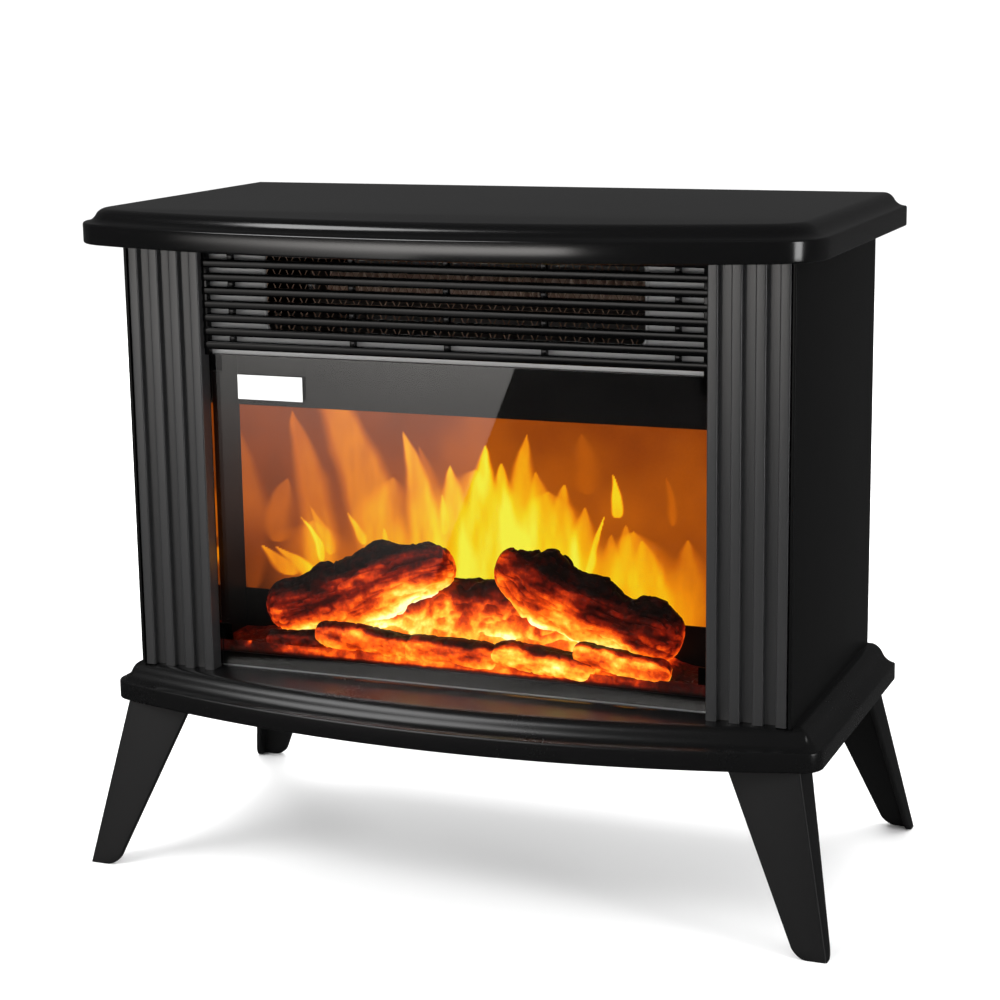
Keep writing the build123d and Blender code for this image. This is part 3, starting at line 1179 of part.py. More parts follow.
def make_long_screws():
    """Legs to plinth, and mantel to top plate."""
    legs = [place for _, side_x, side_y in LEG_SIDES for place in leg_screw_places(side_x, side_y)]
    screws = [screw_z(x, y, Z_BASE - LEG_FLANGE, 1, SCREW_LENGTH) for x, y in legs]
    return group(screws + [screw_z(x, y, Z_CEILING, 1, SCREW_LENGTH) for x, y in mantel_boss_places()])


def make_short_screws():
    """Rear cover to side panels, and control plate to rear cover."""
    screws = [screw_y(x, z, BACK_Y, -1, COVER_SCREW_LENGTH) for x, z in cover_screw_places()]
    screws += [screw_y(x, z, CONTROL_Y1, -1, COVER_SCREW_LENGTH) for x, z in control_screw_places()]
    return group(screws)


# ---------------------------------------------------------------------------
# Every node
# ---------------------------------------------------------------------------

def main():
    os.makedirs("parts", exist_ok=True)
    save("mantel_top", make_mantel())
    save("base_plinth", make_plinth())
    save("bottom_cover", make_bottom_cover())
    for name, side_x, side_y in LEG_SIDES:
        save(f"leg_{name}", make_leg(side_x, side_y))
    for name, side in (("left", -1), ("right", 1)):
        save(f"pillar_{name}", make_pillar(side))
        save(f"side_panel_{name}", make_side_panel(side))
        save(f"log_{name}", make_log(side))
    save("rear_cover", make_rear_cover())
    save("top_plate", make_top_plate())
    save("bottom_plate", inner_sheet(Z_BODY, Z_FLOOR, FIREBOX_FRONT_Y))
    save("heater_deck", inner_sheet(Z_DECK, Z_DECK_TOP, FIREBOX_FRONT_Y))
    save("front_grille", make_grille())
    save("grille_back_plate", make_grille_plate())
    save("heater_guard", make_guard())
    save("glass_pane", make_glass())
    save("glass_clips", make_glass_clips())
    save("blank_label", make_label())
    save("firebox_cheeks", make_cheeks())
    save("firebox_header", back_strip(Z_DECK - HEADER_DROP, Z_DECK))
    save("firebox_ledge", back_strip(Z_FLOOR, Z_FLOOR + LEDGE_HEIGHT))
    save("flame_screen", make_screen())
    save("bed_rail", make_bed_rail())
    save("ember_bed", make_bed())
    save("small_logs", make_small_logs())
    save("led_boards", group([led_board(LOG_Y), led_board(SPINDLE_Y)]))
    save("spindle_rod", make_spindle_rod())
    save("flame_reflectors", make_paddles())
    save("spindle_brackets", group([make_left_bracket(), make_right_bracket()]))
    save("spindle_motor", make_spindle_motor())
    save("heater_frame", make_heater_frame())
    save("heater_fins", make_heater_fins())
    save("thermal_cutout", make_cutout())
    save("blower_wheel", make_blower_wheel())
    save("blower_shaft", make_blower_shaft())
    save("blower_housing", make_blower_housing())
    save("blower_bearing", make_blower_bearing())
    save("blower_motor", make_blower_motor())
    save("control_plate", make_control_plate())
    save("thermostat_body", make_thermostat_body())
    save("thermostat_shaft", make_thermostat_shaft())
    save("thermostat_knob", make_knob())
    for name, x in zip(("flame", "heat"), SWITCH_PLACES):
        save(f"{name}_switch_body", make_switch_body(x))
        save(f"{name}_switch_rocker", make_rocker(x))
    save("cable_gland", make_gland())
    save("gland_nut", make_gland_nut())
    save("terminal_block", make_terminal_block())
    save("driver_board", make_driver_board())
    save("tilt_switch_housing", make_tilt_housing())
    save("tilt_pendulum", make_pendulum())
    save("internal_wires", make_wires())
    save("long_screws", make_long_screws())
    save("short_screws", make_short_screws())


main()
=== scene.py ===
"""Looks of a table-top electric fireplace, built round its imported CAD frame.

Every length is in metres, +Z is up and -Y is the front. Places come from the frame's own boxes.
"""

from __future__ import annotations

import itertools
import json
import logging
import math
from dataclasses import dataclass, field
from enum import Enum

import bmesh
import bpy
import numpy as np
from mathutils import Matrix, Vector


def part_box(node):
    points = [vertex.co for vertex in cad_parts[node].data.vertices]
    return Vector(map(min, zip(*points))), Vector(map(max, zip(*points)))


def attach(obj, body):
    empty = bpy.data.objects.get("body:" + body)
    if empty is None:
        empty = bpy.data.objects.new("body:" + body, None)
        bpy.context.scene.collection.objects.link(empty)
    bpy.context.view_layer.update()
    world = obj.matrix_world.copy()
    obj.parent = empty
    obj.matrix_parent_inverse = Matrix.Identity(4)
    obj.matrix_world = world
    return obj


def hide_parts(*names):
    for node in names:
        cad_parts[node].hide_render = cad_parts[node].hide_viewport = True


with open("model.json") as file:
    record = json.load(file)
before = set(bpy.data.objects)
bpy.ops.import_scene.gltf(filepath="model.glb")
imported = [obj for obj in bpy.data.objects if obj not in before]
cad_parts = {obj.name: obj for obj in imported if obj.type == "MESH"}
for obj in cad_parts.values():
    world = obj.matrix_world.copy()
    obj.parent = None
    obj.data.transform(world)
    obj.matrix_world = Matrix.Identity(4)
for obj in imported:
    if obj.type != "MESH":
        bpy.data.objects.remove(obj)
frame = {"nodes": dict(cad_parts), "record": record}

LOG = logging.getLogger("fireplace")
MM = 0.001
MERGE_DISTANCE = 0.5e-6
NOISE_TABLE = 32
NEARLY_STRAIGHT = 1e-4
NEARLY_UPRIGHT = 0.9
EDGE_STEPS = 4
FULL_TURN = 2 * math.pi
UP = (0.0, 0.0, 1.0)
ACROSS = np.array([0.0, 1.0, 0.0])
MIRROR = np.array([-1.0, 1.0])
Colour = tuple[float, float, float]


# ---------------------------------------------------------------------------
# Arrays: noise, curves and outlines
# ---------------------------------------------------------------------------

def smoothstep(low: float, high: float, value: np.ndarray) -> np.ndarray:
    """Rise smoothly from 0 to 1: 3t^2 - 2t^3 with t the share of the way from low to high.

    Args:
        low: Value where the rise starts.
        high: Value where it ends. It may be below low, and the rise is then a fall.
        value: Array to map.

    Returns:
        Array from 0 to 1.
    """
    t = np.clip((value - low) / (high - low), 0.0, 1.0)
    return t * t * (3.0 - 2.0 * t)


def lattice_noise(points: np.ndarray, cell: float, seed: int) -> np.ndarray:
    """Smooth noise from -1 to 1 on a cubic lattice.

    Seeded random values stand on the lattice and are blended by 3t^2 - 2t^3 along each axis.

    Args:
        points: Array whose last axis holds x, y, z.
        cell: Lattice pitch, in the points' own unit.
        seed: Seed of the random values.

    Returns:
        One value per point.
    """
    table = np.random.default_rng(seed).uniform(-1.0, 1.0, (NOISE_TABLE,) * 3)
    scaled = points / cell
    base = np.floor(scaled).astype(int)
    share = scaled - base
    share = share * share * (3.0 - 2.0 * share)
    total = np.zeros(points.shape[:-1])
    for corner in itertools.product((0, 1), repeat=3):
        index = (base + np.array(corner)) % NOISE_TABLE
        weight = np.prod(np.where(corner, share, 1.0 - share), axis=-1)
        total += table[index[..., 0], index[..., 1], index[..., 2]] * weight
    return total


def layered_noise(points: np.ndarray, cell: float, layers: int, seed: int) -> np.ndarray:
    """Sum of lattice noise in layers, each with half the pitch and half the height of the one before.

    Args:
        points: Array whose last axis holds x, y, z.
        cell: Pitch of the coarsest layer.
        layers: Number of layers.
        seed: Seed of the coarsest layer.

    Returns:
        One value per point, from about -1 to 1.
    """
    total = np.zeros(points.shape[:-1])
    for layer in range(layers):
        total += lattice_noise(points, cell / 2 ** layer, seed + layer) / 2 ** layer
    return total / 1.5


def arc_through(a: tuple, b: tuple, c: tuple, steps: int) -> np.ndarray:
    """Points on the circle through three points in a plane: centre plus radius times cosine and sine.

    Args:
        a: First point.
        b: A point between.
        c: Last point.
        steps: Number of points.

    Returns:
        Array of steps points, ends included.
    """
    a2, b2, c2 = (np.array(p, float) for p in (a, b, c))
    matrix = 2.0 * np.array([b2 - a2, c2 - a2])
    centre = np.linalg.solve(matrix, np.array([b2 @ b2 - a2 @ a2, c2 @ c2 - a2 @ a2]))
    radius = np.linalg.norm(a2 - centre)
    angles = np.unwrap([math.atan2(*(p - centre)[::-1]) for p in (a2, b2, c2)])
    sweep = np.linspace(angles[0], angles[2], steps)
    return centre + radius * np.stack([np.cos(sweep), np.sin(sweep)], axis=-1)


def rounded_outline(corners: list[tuple[float, float, float]], steps: int = 5) -> np.ndarray:
    """A closed outline whose corners are arcs tangent to both of their sides.

    A corner with turn angle T and radius r starts r tan(T/2) before its point, and its points are
    centre plus r times cosine and sine.

    Args:
        corners: x, y and radius of each corner in order.
        steps: Points on each arc.

    Returns:
        Array of outline points.
    """
    points = []
    count = len(corners)
    for index, (x, y, radius) in enumerate(corners):
        here = np.array([x, y])
        before = np.array(corners[index - 1][:2]) - here
        after = np.array(corners[(index + 1) % count][:2]) - here
        before /= np.linalg.norm(before)
        after /= np.linalg.norm(after)
        half = math.acos(float(np.clip(before @ after, -1.0, 1.0))) / 2
        if radius <= 0 or half > math.pi / 2 - NEARLY_STRAIGHT:
            points.append(here[None, :])
            continue
        reach = radius / math.tan(half)
        bisector = before + after
        centre = here + bisector / np.linalg.norm(bisector) * radius / math.sin(half)
        start, end = here + before * reach - centre, here + after * reach - centre
        first = math.atan2(start[1], start[0])
        turn = math.atan2(start[0] * end[1] - start[1] * end[0], start @ end)
        sweep = first + turn * np.linspace(0.0, 1.0, steps)
        points.append(centre + radius * np.stack([np.cos(sweep), np.sin(sweep)], axis=-1))
    return np.concatenate(points)


def at_height(outline: np.ndarray, height: float) -> np.ndarray:
    """Give every point of a flat outline the same height."""
    return np.concatenate([outline, np.full((len(outline), 1), height)], axis=1)


class Axis(Enum):
    """Axis that a profile is carried along, with the order that puts (a, b, along) into x, y, z."""

    X = (2, 0, 1)
    Z = (0, 1, 2)


# ---------------------------------------------------------------------------
# Meshes
# ---------------------------------------------------------------------------

def add_object(name: str, data: bpy.types.ID) -> bpy.types.Object:
    """Make an object at the origin and link it to the scene.

    Args:
        name: Name of the object.
        data: Its mesh, light or camera.

    Returns:
        The object.
    """
    thing = bpy.data.objects.new(name, data)
    bpy.context.scene.collection.objects.link(thing)
    return thing


class Shell:
    """Gathers grids and caps of points into one closed mesh whose faces point outwards."""

    def __init__(self) -> None:
        """Start with nothing."""
        self._points: list[np.ndarray] = []
        self._faces: list[list[int]] = []
        self._values: dict[str, list[np.ndarray]] = {}
        self._count = 0

    def _add(self, points: np.ndarray, values: dict[str, np.ndarray]) -> int:
        """Keep points and their values.

        Args:
            points: Array whose last axis holds x, y, z.
            values: Numbers kept on the points, by attribute name.

        Returns:
            Number of the first point.
        """
        first = self._count
        flat = points.reshape(-1, 3)
        self._points.append(flat)
        for name, array in values.items():
            full = np.broadcast_to(array, points.shape[:-1])
            self._values.setdefault(name, []).append(full.reshape(-1))
        self._count += len(flat)
        return first

    def grid(self, points: np.ndarray, wrap: bool = False, **values: np.ndarray) -> "Shell":
        """Add a surface: rows of points joined by four-sided faces.

        Args:
            points: Array of rows, columns, and x, y, z.
            wrap: Whether each row's last point joins its first.
            **values: Numbers kept on the points, by attribute name.

        Returns:
            This shell.
        """
        first = self._add(points, values)
        rows, columns = points.shape[:2]
        numbers = first + np.arange(rows * columns).reshape(rows, columns)
        if wrap:
            numbers = np.concatenate([numbers, numbers[:, :1]], axis=1)
        near, far = numbers[:-1], numbers[1:]
        quads = np.stack([near[:, :-1], near[:, 1:], far[:, 1:], far[:, :-1]], axis=-1)
        self._faces.extend(quads.reshape(-1, 4).tolist())
        return self

    def cap(self, outline: np.ndarray, **values: np.ndarray) -> "Shell":
        """Close an opening with one flat face on its outline.

        Args:
            outline: Points of the outline.
            **values: Numbers kept on the points, by attribute name.

        Returns:
            This shell.
        """
        first = self._add(outline, values)
        self._faces.append(list(range(first, first + len(outline))))
        return self

    def prism(self, outline: np.ndarray, axis: Axis, low: float, high: float, soften: float = 0) -> "Shell":
        """Carry a flat outline along an axis and cap both ends.

        With soften above 0, the end rows are drawn in towards the outline's own middle by that length,
        along a quarter circle, which softens the end edges of a convex outline.

        Args:
            outline: Points of the outline.
            axis: Axis that it is carried along.
            low: Lower end.
            high: Upper end.
            soften: Radius of the end edges.

        Returns:
            This shell.
        """
        levels, insets = np.array([low, high]), np.zeros(2)
        if soften > 0:
            turn = np.linspace(0.0, math.pi / 2, EDGE_STEPS)
            start = low + soften * (1 - np.sin(turn))
            inset = soften * (1 - np.cos(turn))
            levels = np.concatenate([start[::-1], (high + low) - start])
            insets = np.concatenate([inset[::-1], inset])
        middle = (outline.max(axis=0) + outline.min(axis=0)) / 2
        half = (outline.max(axis=0) - outline.min(axis=0)) / 2
        drawn = middle + (outline - middle) * (1 - insets[:, None, None] / half)
        along = np.broadcast_to(levels[:, None, None], drawn.shape[:2] + (1,))
        return self.loops(np.concatenate([drawn, along], axis=-1)[..., list(axis.value)])

    def loops(self, rows: np.ndarray) -> "Shell":
        """Join closed rows of points and cap the first and the last."""
        return self.grid(rows, wrap=True).cap(rows[0]).cap(rows[-1])

    def block(self, low: tuple, high: tuple, edge: float = 0.0) -> "Shell":
        """Add a box whose edges are rounded.

        Args:
            low: Corner with the lowest x, y and z.
            high: Corner with the highest.
            edge: Radius of its edges.

        Returns:
            This shell.
        """
        (x0, y0, z0), (x1, y1, z1) = low, high
        corners = [(x0, y0, edge), (x1, y0, edge), (x1, y1, edge), (x0, y1, edge)]
        return self.prism(rounded_outline(corners, EDGE_STEPS), Axis.Z, z0, z1, edge)

    def tube(self, path: np.ndarray, radius: float, sides: int = 6) -> "Shell":
        """Carry a circle along a path: each ring lies across the path's direction there.

        Args:
            path: Points of the path.
            radius: Radius of the rings.
            sides: Points on each ring.

        Returns:
            This shell.
        """
        along = np.gradient(path, axis=0)
        along /= np.linalg.norm(along, axis=1, keepdims=True)
        helper = np.where(np.abs(along[:, 2:3]) > NEARLY_UPRIGHT, [[0.0, 1.0, 0.0]], [UP])
        side = np.cross(along, helper)
        side /= np.linalg.norm(side, axis=1, keepdims=True)
        up = np.cross(side, along)
        turn = np.linspace(0.0, FULL_TURN, sides, endpoint=False)[None, :, None]
        circle = np.cos(turn) * side[:, None] + np.sin(turn) * up[:, None]
        return self.loops(path[:, None] + radius * circle)

    def build(self, name: str, crease: float = 32.0) -> bpy.types.Object:
        """Make the mesh object, with doubles merged, faces outwards and smooth shading between creases.

        Args:
            name: Name of the piece.
            crease: Angle in degrees above which an edge stays sharp.

        Returns:
            The object, at the origin.
        """
        mesh = bpy.data.meshes.new(name)
        mesh.from_pydata(np.concatenate(self._points).tolist(), [], self._faces)
        for key, arrays in self._values.items():
            layer = mesh.attributes.new(key, "FLOAT", "POINT")
            layer.data.foreach_set("value", np.concatenate(arrays).astype(np.float32))
        work = bmesh.new()
        work.from_mesh(mesh)
        bmesh.ops.remove_doubles(work, verts=work.verts, dist=MERGE_DISTANCE)
        bmesh.ops.recalc_face_normals(work, faces=work.faces)
        work.to_mesh(mesh)
        work.free()
        mesh.polygons.foreach_set("use_smooth", np.ones(len(mesh.polygons), bool))
        mesh.set_sharp_from_angle(angle=math.radians(crease))
        return add_object(name, mesh)


@dataclass
class Extent:
    """The box of one CAD node at rest."""

    node: str
    low: np.ndarray = field(init=False)
    high: np.ndarray = field(init=False)

    def __post_init__(self) -> None:
        """Read the box from the frame."""
        low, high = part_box(self.node)
        self.low, self.high = np.array(low), np.array(high)

    @property
    def middle(self) -> np.ndarray:
        """Middle of the box."""
        return (self.low + self.high) / 2

    @property
    def size(self) -> np.ndarray:
        """Length of the box along each axis."""
        return self.high - self.low


def wear(piece: bpy.types.Object, key: str) -> None:
    """Give a piece or a CAD node one finish, by its key."""
    piece.data.materials.clear()
    piece.data.materials.append(FINISHES[key].material(key))


def place(piece: bpy.types.Object, body: str, slot: str, *nodes: str, finish: str = "") -> bpy.types.Object:
    """Let a piece ride on a body, stand for CAD nodes and take a finish, and report it.

    Args:
        piece: The piece.
        body: Body that it rides on.
        slot: Its material slot.
        *nodes: CAD nodes that it stands for.
        finish: Key of its finish, where that is not the slot's own.

    Returns:
        The piece.
    """
    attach(piece, body)
    if nodes:
        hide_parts(*nodes)
    wear(piece, finish or slot)
    LOG.info("%s rides on %s for %s", piece.name, body, ", ".join(nodes) or "no node")
    return piece


# ---------------------------------------------------------------------------
# Shared shader node groups
# ---------------------------------------------------------------------------

FLOAT, COLOUR, VECTOR = "NodeSocketFloat", "NodeSocketColor", "NodeSocketVector"
MIX_COLOUR_INPUTS = (0, 6, 7)
MIX_COLOUR_OUTPUT = 2
COARSE_SHARE = 0.03


class Wiring:
    """Short calls for adding and joining shader nodes in one tree."""

    def __init__(self, tree: bpy.types.NodeTree) -> None:
        """Work on this tree."""
        self.tree = tree

    def add(self, kind: str, **settings: object) -> bpy.types.Node:
        """Add a node and set its own properties.

        Args:
            kind: Type name of the node.
            **settings: Its properties.

        Returns:
            The node.
        """
        node = self.tree.nodes.new(kind)
        for key, value in settings.items():
            setattr(node, key, value)
        return node

    def feed(self, node: bpy.types.Node, socket: str | int, source: object) -> None:
        """Set an input socket to a constant, or link it to another node's output socket.

        Args:
            node: Node that is fed.
            socket: Name or number of its input.
            source: A constant or an output socket.
        """
        if isinstance(source, bpy.types.NodeSocket):
            self.tree.links.new(source, node.inputs[socket])
        else:
            node.inputs[socket].default_value = source

    def maths(self, operation: str, *sources: object, clamp: bool = False) -> bpy.types.NodeSocket:
        """Add a Math node.

        Args:
            operation: What it works out.
            *sources: Its inputs in order.
            clamp: Whether its output stays from 0 to 1.

        Returns:
            Its output.
        """
        node = self.add("ShaderNodeMath", operation=operation, use_clamp=clamp)
        for index, source in enumerate(sources):
            self.feed(node, index, source)
        return node.outputs[0]

    def swing(self, source: object, amount: object) -> bpy.types.NodeSocket:
        """Centre a value from 0 to 1 on 0 and multiply it by an amount."""
        return self.maths("MULTIPLY", self.maths("SUBTRACT", source, 0.5), amount)

    def spread(self, source: object, *ends: object) -> bpy.types.NodeSocket:
        """Map a value from one range to another, without running past the ends.

        Args:
            source: The value.
            *ends: Low and high end of its range, then what each becomes.

        Returns:
            The mapped value.
        """
        node = self.add("ShaderNodeMapRange", clamp=True)
        for index, value in enumerate((source, *ends)):
            self.feed(node, index, value)
        return node.outputs[0]

    def noise(self, vector: object, scale: object, detail: float = 3.0) -> bpy.types.NodeSocket:
        """Add a noise texture.

        Args:
            vector: Where it is read.
            scale: Its scale.
            detail: Its number of finer layers.

        Returns:
            Its value.
        """
        node = self.add("ShaderNodeTexNoise")
        self.feed(node, "Vector", vector)
        self.feed(node, "Scale", scale)
        self.feed(node, "Detail", detail)
        return node.outputs["Fac"]

    def blend(self, share: object, *colours: object, mode: str = "MIX") -> bpy.types.NodeSocket:
        """Mix two colours.

        Args:
            share: Share of the second colour.
            *colours: The first and the second colour.
            mode: How they are mixed.

        Returns:
            The mixed colour.
        """
        node = self.add("ShaderNodeMix", data_type="RGBA", blend_type=mode)
        for index, source in zip(MIX_COLOUR_INPUTS, (share, *colours)):
            self.feed(node, index, source)
        return node.outputs[MIX_COLOUR_OUTPUT]

    def ramp(self, source: object, stops: list[tuple[float, Colour]]) -> bpy.types.NodeSocket:
        """Turn a value into a colour.

        Args:
            source: The value.
            stops: Place and colour of each stop, the first at 0 and the last at 1.

        Returns:
            The colour.
        """
        node = self.add("ShaderNodeValToRGB")
        elements = node.color_ramp.elements
        elements[0].color, elements[-1].color = (*stops[0][1], 1.0), (*stops[-1][1], 1.0)
        for position, colour in stops[1:-1]:
            elements.new(position).color = (*colour, 1.0)
        self.feed(node, 0, source)
        return node.outputs[0]

    def bump(self, height: object, depth: object) -> bpy.types.NodeSocket:
        """Turn a height into a normal.

        Args:
            height: The height, from 0 to 1.
            depth: What 1 stands for, in metres.

        Returns:
            The normal.
        """
        node = self.add("ShaderNodeBump")
        self.feed(node, "Distance", depth)
        self.feed(node, "Height", height)
        return node.outputs["Normal"]


class Grain(Enum):
    """Kinds of fine surface that finishes share. Each value is its node group's name."""

    MOULDED = "moulded_grain"
    BRUSHED = "brushed_lines"
    SMOULDER = "smouldering_bark"


def open_group(name: str, inputs: list, outputs: list) -> tuple[Wiring, bpy.types.Node, bpy.types.Node]:
    """Start a node group with named sockets.

    Args:
        name: Name of the group.
        inputs: Socket name, kind and starting value.
        outputs: Socket name and kind.

    Returns:
        The group's wiring, its input node and its output node.
    """
    tree = bpy.data.node_groups.new(name, "ShaderNodeTree")
    for label, kind, start in inputs:
        socket = tree.interface.new_socket(name=label, in_out="INPUT", socket_type=kind)
        socket.default_value = start
    for label, kind in outputs:
        tree.interface.new_socket(name=label, in_out="OUTPUT", socket_type=kind)
    wiring = Wiring(tree)
    return wiring, wiring.add("NodeGroupInput"), wiring.add("NodeGroupOutput")


GRAIN_INPUTS = [("Colour", COLOUR, (0.5, 0.5, 0.5, 1.0)), ("Mottle", FLOAT, 0.1), ("Scale", FLOAT, 900.0),
                ("Roughness", FLOAT, 0.4), ("Spread", FLOAT, 0.05), ("Depth", FLOAT, 0.00002)]
GRAIN_OUTPUTS = [("Colour", COLOUR), ("Roughness", FLOAT), ("Normal", VECTOR)]


def make_grain_group(kind: Grain, stretch: Colour) -> None:
    """Build a grain group: noise on Object coordinates, stretched, varies colour, roughness and height.

    Args:
        kind: Which grain it is.
        stretch: Scale of the pattern along x, y and z.
    """
    wiring, given, result = open_group(kind.value, GRAIN_INPUTS, GRAIN_OUTPUTS)
    coordinates = wiring.add("ShaderNodeTexCoord")
    mapping = wiring.add("ShaderNodeMapping")
    wiring.feed(mapping, "Vector", coordinates.outputs["Object"])
    wiring.feed(mapping, "Scale", stretch)
    fine = wiring.noise(mapping.outputs[0], given.outputs["Scale"])
    coarse_scale = wiring.maths("MULTIPLY", given.outputs["Scale"], COARSE_SHARE)
    coarse = wiring.noise(mapping.outputs[0], coarse_scale, 2.0)
    both = wiring.maths("MULTIPLY_ADD", fine, 0.5, wiring.maths("MULTIPLY", coarse, 0.5))
    shade = wiring.maths("SUBTRACT", 1.0, wiring.maths("MULTIPLY", both, given.outputs["Mottle"]))
    grey = wiring.add("ShaderNodeCombineColor")
    for index in range(3):
        wiring.feed(grey, index, shade)
    tinted = wiring.blend(1.0, given.outputs["Colour"], grey.outputs[0], mode="MULTIPLY")
    swing = wiring.swing(both, given.outputs["Spread"])
    wiring.feed(result, "Colour", tinted)
    wiring.feed(result, "Roughness", wiring.maths("ADD", given.outputs["Roughness"], swing, clamp=True))
    wiring.feed(result, "Normal", wiring.bump(fine, given.outputs["Depth"]))


def make_smoulder_group() -> None:
    """Build the ember group: a heat from 0 to 1 becomes charred bark, red glow and yellow glow.

    The heat first swings by the fleck times a fine noise, which is also the height of the bark.
    """
    inputs = [("Heat", FLOAT, 0.0), ("Scale", FLOAT, 260.0), ("Fleck", FLOAT, 0.25),
              ("Depth", FLOAT, 0.0004)]
    outputs = [("Colour", COLOUR), ("Glow", COLOUR), ("Roughness", FLOAT), ("Normal", VECTOR)]
    wiring, given, result = open_group(Grain.SMOULDER.value, inputs, outputs)
    coordinates = wiring.add("ShaderNodeTexCoord")
    speckle = wiring.noise(coordinates.outputs["Object"], given.outputs["Scale"], 6.0)
    swing = wiring.swing(speckle, given.outputs["Fleck"])
    heat = wiring.maths("ADD", given.outputs["Heat"], swing, clamp=True)
    bark = wiring.ramp(heat, [(0.0, (0.007, 0.0035, 0.0025)), (0.3, (0.030, 0.006, 0.003)),
                              (0.6, (0.16, 0.03, 0.008)), (1.0, (0.5, 0.22, 0.05))])
    glow = wiring.ramp(heat, [(0.0, (0.001, 0.0002, 0.0001)), (0.18, (0.030, 0.0014, 0.0004)),
                              (0.34, (0.17, 0.006, 0.001)), (0.48, (0.60, 0.038, 0.002)),
                              (0.62, (1.0, 0.16, 0.006)), (0.76, (1.0, 0.46, 0.03)),
                              (0.90, (1.0, 0.80, 0.16)), (1.0, (1.0, 0.97, 0.55))])
    wiring.feed(result, "Colour", bark)
    wiring.feed(result, "Glow", glow)
    wiring.feed(result, "Roughness", wiring.spread(speckle, 0.3, 0.7, 0.45, 0.75))
    wiring.feed(result, "Normal", wiring.bump(speckle, given.outputs["Depth"]))


# ---------------------------------------------------------------------------
# Finishes
# ---------------------------------------------------------------------------

@dataclass(frozen=True)
class Finish:
    """A solid finish: plastic, lacquer or metal with a fine grain."""

    colour: Colour
    roughness: float
    metallic: float = 0.0
    level: float = 0.5
    grain: Grain = Grain.MOULDED
    scale: float = 900.0
    mottle: float = 0.1
    spread: float = 0.05
    depth: float = 0.00002

    def material(self, slot: str) -> bpy.types.Material:
        """Return the finish's material, made at the first call.

        Args:
            slot: Key of the finish.

        Returns:
            The material.
        """
        name = f"{slot}_finish"
        found = bpy.data.materials.get(name)
        if found is not None:
            return found
        material = bpy.data.materials.new(name)
        material.use_nodes = True
        wiring = Wiring(material.node_tree)
        shader = material.node_tree.nodes["Principled BSDF"]
        self.dress(wiring, shader)
        return material

    def dress(self, wiring: Wiring, shader: bpy.types.Node) -> None:
        """Set the shader's constants and join the grain group to it.

        Args:
            wiring: Wiring of the material.
            shader: Its Principled shader.
        """
        wiring.feed(shader, "Metallic", self.metallic)
        wiring.feed(shader, "Specular IOR Level", self.level)
        group = wiring.add("ShaderNodeGroup")
        group.node_tree = bpy.data.node_groups[self.grain.value]
        values = ((*self.colour, 1.0), self.mottle, self.scale, self.roughness, self.spread, self.depth)
        for (socket, _, _), value in zip(GRAIN_INPUTS, values):
            wiring.feed(group, socket, value)
        wiring.feed(shader, "Base Color", group.outputs["Colour"])
        wiring.feed(shader, "Roughness", group.outputs["Roughness"])
        wiring.feed(shader, "Normal", group.outputs["Normal"])


@dataclass(frozen=True)
class ClearGlass(Finish):
    """Plain clear glass with a faint tint."""

    ior: float = 1.5

    def dress(self, wiring: Wiring, shader: bpy.types.Node) -> None:
        """Set full transmission, with a very faint smear in the roughness.

        Args:
            wiring: Wiring of the material.
            shader: Its Principled shader.
        """
        super().dress(wiring, shader)
        wiring.feed(shader, "Transmission Weight", 1.0)
        wiring.feed(shader, "IOR", self.ior)


@dataclass(frozen=True)
class Smoulder(Finish):
    """Moulded resin lit from below, coloured by the heat kept on its points."""

    glow: float = 1.0
    fleck: float = 0.25

    def dress(self, wiring: Wiring, shader: bpy.types.Node) -> None:
        """Join the heat on the points to the ember group and the group to the shader.

        Args:
            wiring: Wiring of the material.
            shader: Its Principled shader.
        """
        heat = wiring.add("ShaderNodeAttribute", attribute_name="warmth")
        group = wiring.add("ShaderNodeGroup")
        group.node_tree = bpy.data.node_groups[Grain.SMOULDER.value]
        wiring.feed(group, "Heat", heat.outputs["Fac"])
        wiring.feed(group, "Scale", self.scale)
        wiring.feed(group, "Fleck", self.fleck)
        wiring.feed(group, "Depth", self.depth)
        wiring.feed(shader, "Base Color", group.outputs["Colour"])
        wiring.feed(shader, "Emission Color", group.outputs["Glow"])
        wiring.feed(shader, "Emission Strength", self.glow)
        wiring.feed(shader, "Roughness", group.outputs["Roughness"])
        wiring.feed(shader, "Normal", group.outputs["Normal"])
        wiring.feed(shader, "Specular IOR Level", self.level)


@dataclass(frozen=True)
class FlameFilm(Finish):
    """Frosted screen on which the flames are thrown, coloured by the heat kept on its points."""

    glow: float = 1.0

    def dress(self, wiring: Wiring, shader: bpy.types.Node) -> None:
        """Turn the heat on the points into flame colours.

        Args:
            wiring: Wiring of the material.
            shader: Its Principled shader.
        """
        super().dress(wiring, shader)
        heat = wiring.add("ShaderNodeAttribute", attribute_name="warmth")
        coordinates = wiring.add("ShaderNodeTexCoord")
        frost = wiring.noise(coordinates.outputs["Object"], self.scale, 2.0)
        value = wiring.maths("ADD", heat.outputs["Fac"], wiring.swing(frost, self.mottle), clamp=True)
        flame = wiring.ramp(value, [(0.0, (0.0, 0.0, 0.0)), (0.10, (0.085, 0.014, 0.0006)),
                                    (0.25, (0.28, 0.047, 0.0015)), (0.42, (0.60, 0.125, 0.002)),
                                    (0.58, (0.92, 0.27, 0.003)), (0.72, (1.0, 0.45, 0.004)),
                                    (0.86, (1.0, 0.70, 0.012)), (1.0, (1.0, 0.93, 0.06))])
        wiring.feed(shader, "Emission Color", flame)
        wiring.feed(shader, "Emission Strength", self.glow)


